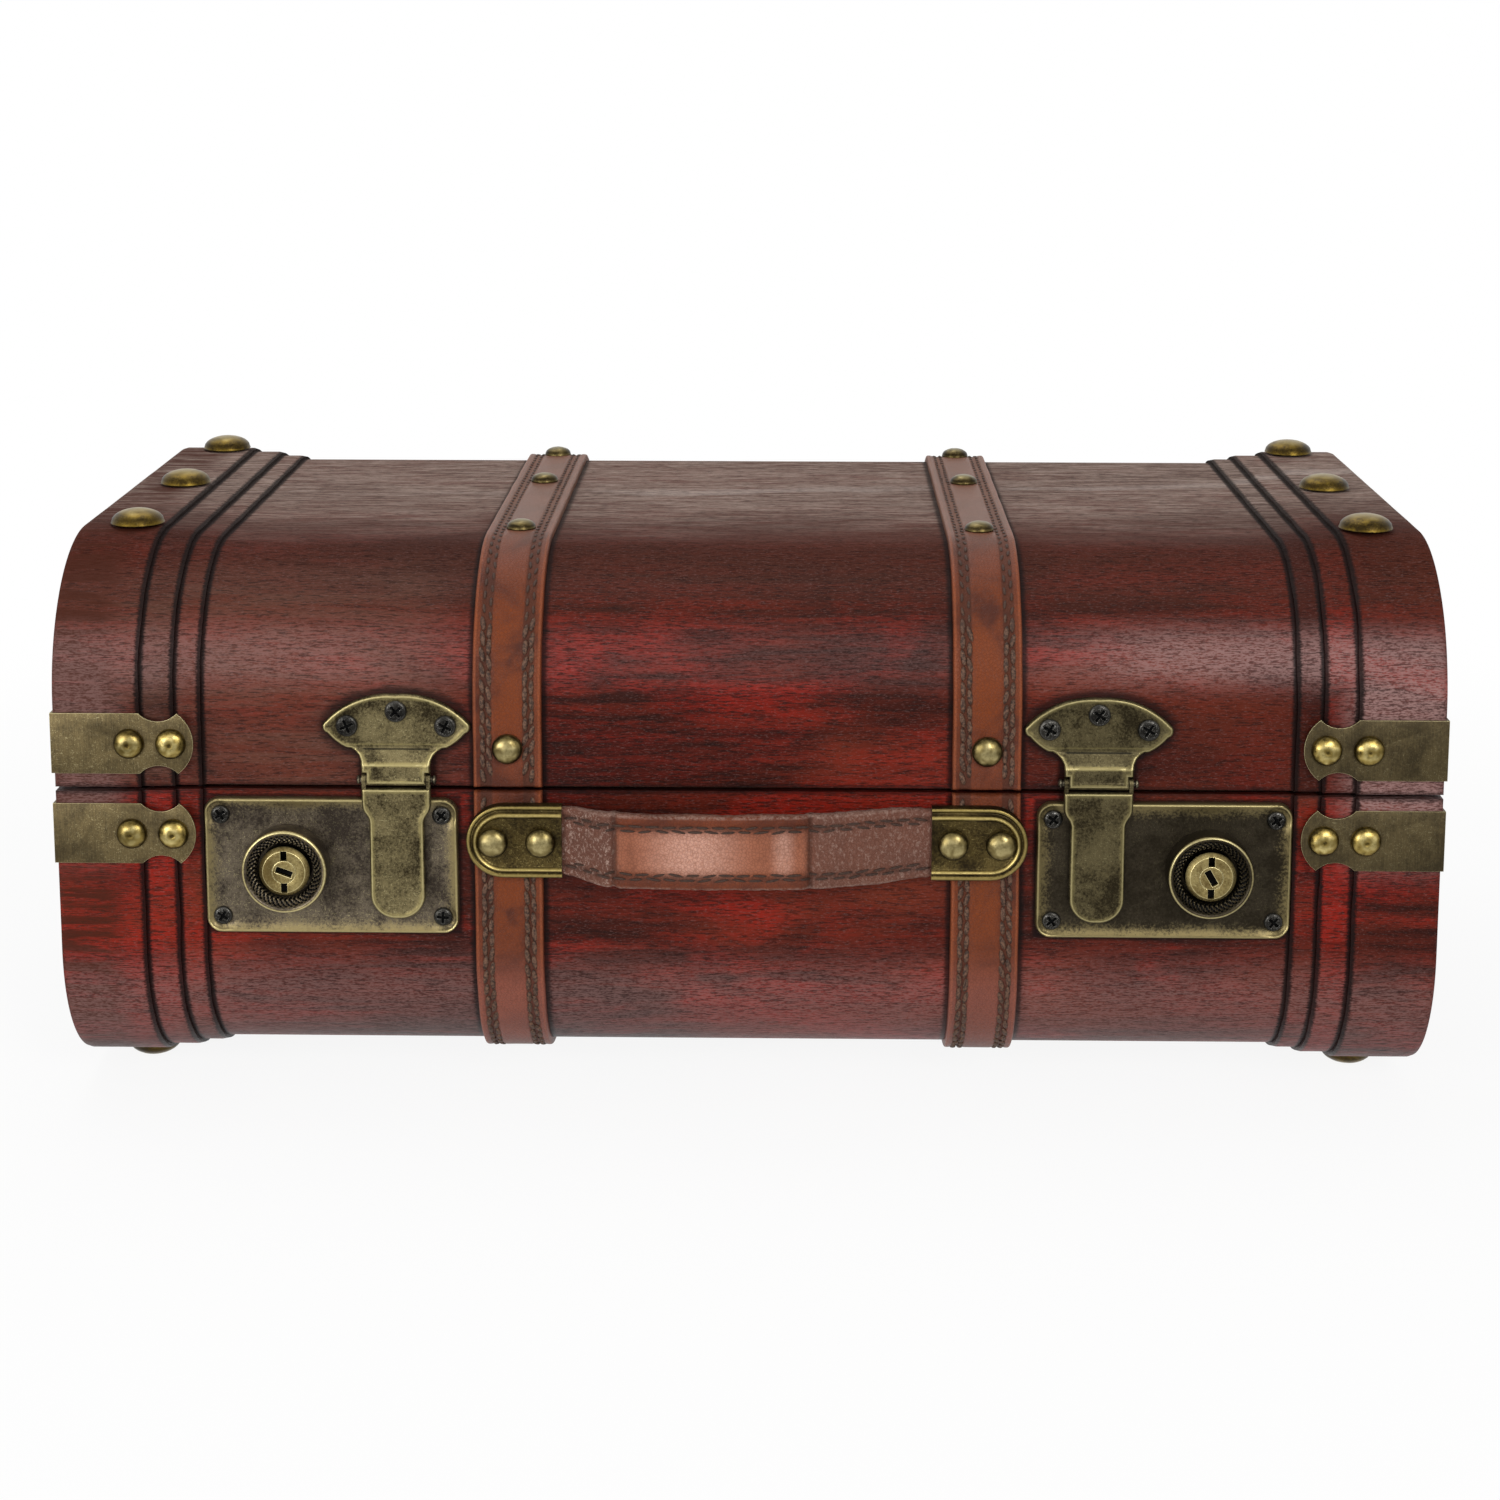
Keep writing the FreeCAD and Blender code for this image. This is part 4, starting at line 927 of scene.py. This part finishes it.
def screwAt(bm, seat, radius, make):
    wearAndShading = bm.verts.layers.float["wearAndShading"]
    made = bmesh.ops.create_grid(bm, x_segments=make["cells"], y_segments=make["cells"], size=1)
    verts = made["verts"]
    rim = [e for e in bm.edges if e.is_boundary and e.verts[0] in set(verts)]
    grown = bmesh.ops.extrude_edge_only(bm, edges=rim)
    skirt = vertsOf(grown)
    floor = [g for g in grown["geom"] if isinstance(g, bmesh.types.BMEdge) and g.is_boundary]
    bmesh.ops.contextual_create(bm, geom=floor)
    turn = random.uniform(0, math.pi / 2)
    half, arm, foot = make["crossHalf"], radius * make["crossReach"], make["foot"]
    for v in verts + skirt:
        u, w = v.co.x, v.co.y
        x, z = u * math.sqrt(1 - w * w / 2), w * math.sqrt(1 - u * u / 2)
        share = min(1.0, math.hypot(x, z))
        lift = foot + (make["height"] - foot) * (1 - share ** 4) ** 0.5
        a = radius * (x * math.cos(turn) + z * math.sin(turn))
        b = radius * (z * math.cos(turn) - x * math.sin(turn))
        gap = min(max(abs(a) - half, abs(b) - arm), max(abs(b) - half, abs(a) - arm))
        lift -= make["crossDeep"] * min(1.0, max(0.0, -gap / make["soft"]))
        v.co = seat + Vector((x * radius, -lift, z * radius))
        # painted glints along the cross's edges and a lighter rim, and painted shade below zero in the recess
        bright = 0.75 if gap < make["brightRim"] else 0.5 * (share > 0.8)
        v[wearAndShading] = -1.0 if gap < -make["soft"] * 0.6 else bright
    for v in skirt:
        v.co.y = seat.y + make["skirt"]


def screwPiece(cadNode, name, body, radius, make):
    bm = startPiece()
    random.seed(cadNode)
    for low, high in islands(cadNode):
        seat = (low + high) / 2
        seat.y = low.y + make["sunk"]
        screwAt(bm, seat, radius, make)
    endPiece(bm, name, body, "blackScrew", [cadNode], sharp=35)


screwPiece("lock_screws", "lock_screw_heads", "base", 3.1, screwMake)
screwPiece("hasp_screws", "hasp_screw_heads", "lid", 3.6, screwMake)


pinMake = {"radius": 0.95, "length": 24, "headAt": 12.3, "head": (0.75, 1.5, 1.5), "sides": 24, "rings": 14}


def pinPiece(cadNode, make):  # the rods through the hasps, with a small peened head at each end
    bm = startPiece()
    for low, high in islands(cadNode):
        middle = (low + high) / 2
        turn = Matrix.Translation(middle) @ Matrix.Rotation(math.pi / 2, 4, "Y")
        bmesh.ops.create_cone(bm, cap_ends=True, segments=make["sides"], radius1=make["radius"],
                radius2=make["radius"], depth=make["length"], matrix=turn)
        for sign in (-1, 1):
            spot = middle + Vector((sign * make["headAt"], 0, 0))
            flat = Matrix.Translation(spot) @ Matrix.Diagonal((*make["head"], 1))
            bmesh.ops.create_uvsphere(bm, u_segments=make["sides"], v_segments=make["rings"], radius=1,
                    matrix=flat)
    endPiece(bm, "hasp_pin_rods", "lid", "darkPin", [cadNode])


pinPiece("hasp_pins", pinMake)


# lock plates, knobs and hasps, whose stepped edges are rows of inset, height and wear

lockMake = {
    "corner": 5.0, "wall": 1.5,
    "edge": ((0.2, 2.1, 0.1), (0.3, 2.5, 0.8), (0.35, 2.6, 1.0), (0.35, 2.5, 0.5), (0.9, 2.15, 0.42),
        (1.2, 1.8, 0.3), (1.3, 1.6, 0.16), (1.6, 1.5, 0.0)),
    "cell": 1.3, "screwX": 36.2, "screwZ": 17.2, "dimple": (3.5, 5.2), "pan": 1.45, "dent": 0.08,
    "dentLength": 11,
}


def lockPiece(side, make):
    low, high = boxOf(f"lock_plate_{side}")
    middle = (low + high) / 2
    halfX, halfZ = (high.x - low.x) / 2, (high.z - low.z) / 2
    bm = startPiece()
    raisedPlate(bm, roundedBox(halfX, halfZ, make["corner"]), make["wall"], make["edge"])
    for axis, half in (("x", halfX), ("z", halfZ)):
        count = int(half / make["cell"])
        cutAt(bm, axis, 0, make["cell"], -count, count)
    screws = [(signX * make["screwX"], signZ * make["screwZ"]) for signX in (-1, 1) for signZ in (-1, 1)]
    near, far = make["dimple"]
    for v in bm.verts:
        if v.co.y < -1.0:
            gap = min(math.hypot(v.co.x - x, v.co.z - z) for x, z in screws)
            if gap < far:
                share = eased(gap, near, far)
                v.co.y = v.co.y * share - make["pan"] * (1 - share)
            v.co.y -= make["dent"] * noise.noise(v.co / make["dentLength"])
    moveAll(bm, (middle.x, skinY, middle.z))
    endPiece(bm, f"lock_plate_pressed_{side}", "base", "lockBrass", [f"lock_plate_{side}"])


knobMake = {
    "profile": ((0.0, 0.0), (14.0, 0.0), (14.0, -1.2), (13.75, -0.45), (13.35, 0.0), (12.8, 0.02),
        (12.4, -0.25), (12.15, -0.6), (11.9, -0.6), (11.3, -0.85), (10.6, -1.3), (9.9, -1.85), (9.5, -2.3),
        (9.3, -2.9), (9.25, -4.0), (9.25, -6.3), (0.0, -6.3)),
    "sunk": 1.8, "floor": 1.25, "above": 2.5, "crest": 13.45, "ridgeFrom": 9.5, "ridgeTo": 12.0,
    "ridges": 42, "ridgeDepth": 0.5, "sides": 336, "twist": 0.125,
}


def knobPiece(side, make):
    low, high = boxOf(f"knob_ring_{side}")
    middle = (low + high) / 2
    seatY = skinY - make["sunk"]
    bm = startPiece()
    wearAndShading = bm.verts.layers.float["wearAndShading"]
    points = []
    for n, (radius, fall) in enumerate(make["profile"]):
        height = 0.0 if n < 2 else seatY - low.y + fall
        points.append(bm.verts.new((radius, 0, height)))
    points[-1].co.z = points[-2].co.z = make["floor"]
    edges = [bm.edges.new(pair) for pair in zip(points, points[1:])]
    bmesh.ops.spin(bm, geom=points + edges, cent=(0, 0, 0), axis=(0, 0, 1), angle=2 * math.pi,
            steps=make["sides"], use_merge=True, use_duplicate=False)
    for v in bm.verts:
        radius = math.hypot(v.co.x, v.co.y)
        if v.co.z > make["above"]:
            v[wearAndShading] = max(0.0, 1 - abs(radius - make["crest"]) / 0.5) + 0.3
            if make["ridgeFrom"] < radius < make["ridgeTo"]:
                angle = math.atan2(v.co.y, v.co.x) + make["twist"] * (radius - make["ridgeFrom"])
                ridge = math.sin(make["ridges"] * angle)
                v.co.z += make["ridgeDepth"] * ridge
                v[wearAndShading] = -0.6 + 1.5 * ridge
    turn = forward.to_track_quat("Z", "Y").to_matrix().to_4x4()
    bmesh.ops.transform(bm, matrix=Matrix.Translation((middle.x, seatY, middle.z)) @ turn, verts=bm.verts[:])
    endPiece(bm, f"knob_roped_{side}", f"knob_{side}", "lockBrass", [f"knob_ring_{side}"])


haspMake = {
    "wall": 1.2,
    "edge": ((0.2, 1.6, 0.1), (0.25, 1.88, 0.65), (0.3, 2.0, 0.85), (0.4, 1.97, 0.6), (0.7, 1.8, 0.4),
        (0.9, 1.72, 0.05)),
    "bracketPath": ((9.7, 2.1), (9.7, 5.9), (11.2, 5.9), (11.2, 8.3), ((12.75, 12.05), (16.5, 13.6), 5),
        ((19.6, 15.6), (22.4, 18.4), 4), ((24.1, 20.9), (23.0, 22.6), 6),
        ((14.0, 29.0), (0.0, 31.4), 14)),  # with a notch at each lower corner for the tongue's ears
    "bracketCuts": (("x", 0, 1.2, -20, 20), ("z", 2.1, 0.8, 1, 36)),
    "tonguePath": ((11.2, 0.8), (11.2, -4.4), ((10.9, -6.4), (10.05, -7.9), 4),
        ((9.2, -9.4), (8.9, -11.4), 4), (8.95, -22.0), (9.0, -35.0), ((6.6, -40.8), (0.0, -43.2), 12)),
    "tongueCuts": (("x", 0, 1.5, -7, 7), ("z", 0.8, -1.4, 1, 30)), "frontY": -0.6, "faceY": -2.0,
    "pinAt": (-2.8, 3.4), "bendTop": 13.6, "bendLow": 8.4, "stand": 3.0, "groove": (0.32, 0.7, 15),
    # the bright lines are painted highlights along the bends; the dark line is painted shade in the groove
    "brightLines": ((8.8, 0.8, 0.85), (14.9, 0.45, 0.6)), "darkLine": (13.3, 0.5, 0.8, 13),
    "topLine": (-0.3, 0.5, 0.6), "sheathTo": 6.0, "sheath": 0.4, "roll": 2.1, "rollHalf": 9.5,
    "ears": (9.85, 11.1), "earArm": (-3.6, 2.0, 1.8, 2.8),
}


def rollAt(bm, x, length, sides, make):  # a rolled eye round the pin
    place = Matrix.Translation((x, *make["pinAt"])) @ Matrix.Rotation(math.pi / 2, 4, "Y")
    bmesh.ops.create_cone(bm, cap_ends=True, segments=sides, radius1=make["roll"], radius2=make["roll"],
            depth=length, matrix=place)


def bracketPiece(side, make):
    bm = startPiece()
    wearAndShading = bm.verts.layers.float["wearAndShading"]
    raisedPlate(bm, outlineOf(make["bracketPath"]), make["wall"], make["edge"])
    for cuts in make["bracketCuts"]:
        cutAt(bm, *cuts)
    top, low = make["bendTop"], make["bendLow"]
    deep, grooveWidth, grooveHalf = make["groove"]
    darkAt, darkWidth, darkMuch, darkHalf = make["darkLine"]
    for v in bm.verts:
        x, z = v.co.x, v.co.z
        slope = min(1.0, max(0.0, (top - z) / (top - low)))
        if v.co.y < make["frontY"]:
            v.co.y += deep * hump(z - top, grooveWidth) * (abs(x) < grooveHalf)
            # painted highlights along the bends, and painted shade in the groove at the upper bend
            v[wearAndShading] = max([v[wearAndShading]] + [much * hump(z - at, wide) for at, wide, much in make["brightLines"]])
            v[wearAndShading] -= darkMuch * hump(z - darkAt, darkWidth) * (abs(x) < darkHalf)
            v.co.y = max(v.co.y - 0.1 * ripple(x / 7, 0, z / 7), make["faceY"])
        elif z < make["sheathTo"]:
            v.co.y = make["sheath"] + make["faceY"]
        v.co.y -= make["stand"] * (eased(top - z, 0, top - low) * 0.5 + slope * 0.5)
    rollAt(bm, 0, 2 * make["rollHalf"], 32, make)
    moveAll(bm, (middleOf(f"hasp_bracket_{side}").x, skinY, parting))
    endPiece(bm, f"hasp_bracket_pressed_{side}", "lid", "haspBrass", [f"hasp_bracket_{side}"])


def tonguePiece(side, make):
    bm = startPiece()
    wearAndShading = bm.verts.layers.float["wearAndShading"]
    raisedPlate(bm, outlineOf(make["tonguePath"]), make["wall"], make["edge"])
    for cuts in make["tongueCuts"]:
        cutAt(bm, *cuts)
    lineAt, lineWidth, lineMuch = make["topLine"]
    for v in bm.verts:
        if v.co.y < make["frontY"]:
            v.co.y = max(v.co.y - 0.12 * ripple(v.co.x / 9, 3, v.co.z / 9), make["faceY"])
            v[wearAndShading] = max(v[wearAndShading], lineMuch * hump(v.co.z - lineAt, lineWidth))
    moveAll(bm, (0, -make["stand"], 0))
    inner, outer = make["ears"]
    armY, armZ, armDeep, armTall = make["earArm"]
    for sign in (1, -1):
        x, wide = sign * (inner + outer) / 2, outer - inner
        rollAt(bm, x, wide, 28, make)
        arm = Matrix.Translation((x, armY, armZ)) @ Matrix.Diagonal((wide, armDeep, armTall, 1))
        bmesh.ops.create_cube(bm, size=1, matrix=arm)
    moveAll(bm, (middleOf(f"hasp_tongue_{side}").x, skinY, parting))
    endPiece(bm, f"hasp_tongue_pressed_{side}", f"tongue_{side}", "haspBrass", [f"hasp_tongue_{side}"])


for side in signs:
    lockPiece(side, lockMake)
    knobPiece(side, knobMake)
    bracketPiece(side, haspMake)
    tonguePiece(side, haspMake)
print("locks and hasps made")


# handle: caps, band and stitches

capMake = {
    "wall": 3.7,
    "edge": ((0.25, 4.0, 0.6), (0.5, 4.12, 0.9), (0.45, 4.0, 0.5), (0.35, 3.75, 0.05), (0.3, 3.85, 0.0),
        (0.3, 4.5, 0.2), (0.35, 5.2, 0.8), (0.45, 5.5, 1.0), (0.5, 5.3, 0.7), (0.35, 4.75, 0.2),
        (0.4, 4.55, 0.0)),
    "steps": 20, "strapThick": 2.5,
}


def capPiece(side, make):
    low, high = boxOf(f"handle_cap_{side}")
    length, radius = high.x - low.x, (high.z - low.z) / 2
    angles = [math.pi * (n / make["steps"] - 0.5) for n in range(make["steps"] + 1)]
    right = [(length - radius + radius * math.cos(a), radius * math.sin(a)) for a in angles]
    bm = startPiece()
    raisedPlate(bm, right + [(-x, z) for x, z in reversed(right)], make["wall"], make["edge"])
    bmesh.ops.bisect_plane(bm, geom=bm.verts[:] + bm.edges[:] + bm.faces[:], plane_co=(0, 0, 0),
            plane_no=(1, 0, 0), clear_inner=True, dist=1e-5)
    bmesh.ops.holes_fill(bm, edges=[e for e in bm.edges if e.is_boundary], sides=0)
    bmesh.ops.scale(bm, vec=(signs[side], 1, 1), verts=bm.verts[:])
    inner = low.x if side == "right" else high.x
    moveAll(bm, (inner, skinY - make["strapThick"], (low.z + high.z) / 2))
    endPiece(bm, f"handle_cap_pressed_{side}", "base", "capBrass", [f"handle_cap_{side}"])


handleMake = {
    "halfHeight": 11.9, "thick": (3.0, 4.0), "underCap": 14, "standOff": 2.65, "cellsAlong": 170,
    "cellsUp": 40, "rise": 18.0, "fall": 40.8, "bulge": 9.6,
    "creases": ((-42.5, 1.3, 1.1), (20.5, 1.3, 1.2)), "belly": 2.0, "edgeRound": 0.9,
    "channelDepth": 0.38, "channelHalf": 1.5, "rows": (3.4, 4.9), "stitchPitch": 5.4,
    "stitch": (0.42, 2.5, 0.4), "stitchSink": 0.12, "firstStitch": 3.0, "lastStitch": 2.5,
}


def bandStand(x, make):  # how far the inner face stands off the strap, with the creases beside the belly
    end = capLow.x
    stand = make["bulge"] * eased(x + end, 0, make["rise"]) * eased(end - x, 0, make["fall"])
    left, right = make["creases"][0][0], make["creases"][1][0]
    if left < x < right:
        stand += make["belly"] * math.sin(math.pi * (x - left) / (right - left)) ** 0.7
    for place, depth, wide in make["creases"]:
        stand -= depth * hump(x - place, wide)
    return max(stand, 0.0)


def bandSpot(x, share, out, make):  # share runs from -1 at the lower edge to 1 at the upper
    ends = max(0.0, 1 - (capLow.x - abs(x)) / make["underCap"])
    half = make["halfHeight"] * (1 - 0.055 * ends) + 0.35 * (1 - ends)
    fray = 0.22 * ripple(x / 2.2, share * 3, 5) + 0.3 * ripple(x / 12, share * 3, 9)
    thin, thick = make["thick"]
    y = skinY - make["standOff"] - bandStand(x, make) - out * (thick - (thick - thin) * ends)
    return Vector((x, y, (capLow.z + capHigh.z) / 2 + share * (half + fray * abs(share) ** 6)))


def handlePiece(make):
    bm = startPiece()
    twoSheets(bm, make["cellsAlong"], make["cellsUp"])
    channel = make["halfHeight"] - sum(make["rows"]) / 2
    left, right = make["creases"][0][0], make["creases"][1][0]
    for v in bm.verts:
        x = capLow.x * v.co.x
        share = 1.18 * v.co.y - 0.18 * v.co.y ** 3
        across = abs(share) * make["halfHeight"]
        out = 0.0 if v.co.z < 0.5 else 1.0
        dip = roundDrop(make["halfHeight"] - across, make["edgeRound"])
        if out:
            rough = 0.35 if left <= x <= right else 1.0
            dip += make["channelDepth"] * hump(across - channel, make["channelHalf"], 4)
            dip += 0.16 * rough * ripple(x / 1.9, share * 6, 2)
            dip += 0.22 * ripple(x / 7, share * 1.5, 6)
        spot = bandSpot(x, share, out, make)
        spot.y += dip if out else -dip * 0.6
        v.co = spot
    endPiece(bm, "handle_leather", "base", "handleLeather", ["handle_band"], sharp=60)


def handleStitches(make):
    bm = startPiece()
    random.seed(5)
    loop = startLoop(loopMake)
    wide, length, tall = make["stitch"]
    for edge in (-1, 1):
        for order, row in enumerate(make["rows"]):
            share = edge * (1 - row / make["halfHeight"])
            x = -capLow.x + make["firstStitch"] + order * make["stitchPitch"] * 0.5
            while x < capLow.x - make["lastStitch"]:
                spot, ahead = [bandSpot(at, share, 1.0, make) + Vector((0, make["stitchSink"], jitter))
                        for at, jitter in ((x, random.uniform(-0.12, 0.12)),
                        (x + 0.8, random.uniform(-0.1, 0.1)))]
                size = (wide, length * random.uniform(0.85, 1.1), tall)
                stitchAt(bm, loop, spot, ahead - spot, forward, size)
                x += make["stitchPitch"] * random.uniform(0.95, 1.05)
    endPiece(bm, "handle_stitches", "base", "darkThread", sharp=80)


for side in signs:
    capPiece(side, capMake)
handlePiece(handleMake)
handleStitches(handleMake)
print("handle made")


# finishes of the CAD pieces that show as they are

cadFinish = {
    "skin": "stainedBoard", "end_board": "stainedEnd", "lock_case": "caseSteel",
    "hinge_pins": "darkPin", "screws": "blackScrew", "lining": "liningCloth",
}
for name, node in nodes.items():
    if not node.hide_render:
        finish = next(finish for part, finish in cadFinish.items() if part in name)
        node.data.materials.clear()
        node.data.materials.append(finishes[finish])


# floor, lamps, world and camera

stageLook = {
    "floorSize": 6.0, "floorColour": tone(236, 236, 236), "shadowNear": 0.9, "fade": (0.3, 0.7),
    "farShine": (0.36, 0.36, 0.36, 1.0), "shine": (0.24, 0.48), "white": (1, 1, 1, 1),
    "worldLight": 0.42,
    "lamps": {
        "keySoft": {"place": (0.9, -1.9, 1.15), "size": 0.8, "power": 22},
        "topSoft": {"place": (-0.3, 0.5, 1.8), "size": 1.3, "power": 12},
        "leftFill": {"place": (-1.3, -1.6, 0.5), "size": 1.0, "power": 20},
    },
    "aim": (0.0, 0.0, 0.1),
}


def raysOf(wire):
    kinds = ("Is Camera Ray", "Is Glossy Ray", "Is Transmission Ray")
    return [wire.node("LightPath", output=kind) for kind in kinds]


def stageFinish(name, look):
    material = bpy.data.materials.new(name)
    wire = emptied(material)
    seen, glossy, through = raysOf(wire)
    spot = wire.node("TexCoord", output="Object")
    reach = spot.node("VectorMath", {"operation": "LENGTH"}, {0: spot}, output="Value")
    fade = look["shadowNear"] + (1 - look["shadowNear"]) * between(reach, *look["fade"])
    matt = wire.node("BsdfDiffuse", {}, {"Color": look["floorColour"]})
    dimmed = mixed(glossy * between(reach, *look["shine"]), look["white"], look["farShine"])
    white = wire.node("Emission", {}, {"Color": dimmed, "Strength": 1.0})
    both = wire.node("MixShader", {}, {0: larger(seen * fade, glossy, through), 1: matt, 2: white})
    wire.node("OutputMaterial", {}, {"Surface": both})
    return material


def makeFloor(look):
    bm = bmesh.new()
    bmesh.ops.create_grid(bm, x_segments=1, y_segments=1, size=look["floorSize"])
    asObject(bm, "floor", stageFinish("floorPaper", look))


def makeWorld(look):
    world = bpy.data.worlds.new("room")
    bpy.context.scene.world = world
    wire = emptied(world)
    seen = larger(*raysOf(wire))
    dim, white = [wire.node("Background", {}, {"Color": look["white"], "Strength": strength})
            for strength in (look["worldLight"], 1.0)]
    sky = wire.node("MixShader", {}, {0: seen, 1: dim, 2: white})
    wire.node("OutputWorld", {}, {"Surface": sky})


def makeLamps(look):
    for name, lamp in look["lamps"].items():
        light = bpy.data.lights.new(name, "AREA")
        light.shape = "SQUARE"
        light.size = lamp["size"]
        light.energy = lamp["power"]
        holder = bpy.data.objects.new(name, light)
        holder.location = lamp["place"]
        aim = Vector(look["aim"]) - Vector(lamp["place"])
        holder.rotation_euler = aim.to_track_quat("-Z", "Y").to_euler()
        bpy.context.scene.collection.objects.link(holder)


cameraMake = {
    "place": (15.22, -870.0, 261.71),  # from the case's front middle at the joint line
    "pitch": 9.4, "yaw": -0.942, "roll": 0.078, "lens": 66.75, "sensor": 36, "shift": -0.21,
    "clip": (0.01, 50),
}


def makeCamera(make):
    place = Vector(make["place"]) + Vector((0, case["frontY"], parting))
    turn = Matrix.Translation(place * mm)
    for angle, axis in ((-make["yaw"], "Z"), (90 - make["pitch"], "X"), (make["roll"], "Z")):
        turn = turn @ Matrix.Rotation(math.radians(angle), 4, axis)
    camera = bpy.data.cameras.new("camera")
    camera.lens = make["lens"]
    camera.sensor_width = make["sensor"]
    camera.shift_y = make["shift"]
    camera.clip_start, camera.clip_end = make["clip"]
    holder = bpy.data.objects.new("camera", camera)
    holder.matrix_world = turn
    bpy.context.scene.collection.objects.link(holder)
    bpy.context.scene.camera = holder


makeFloor(stageLook)
makeWorld(stageLook)
makeLamps(stageLook)
makeCamera(cameraMake)
bpy.context.scene.view_settings.view_transform = "Standard"
print("stage set")
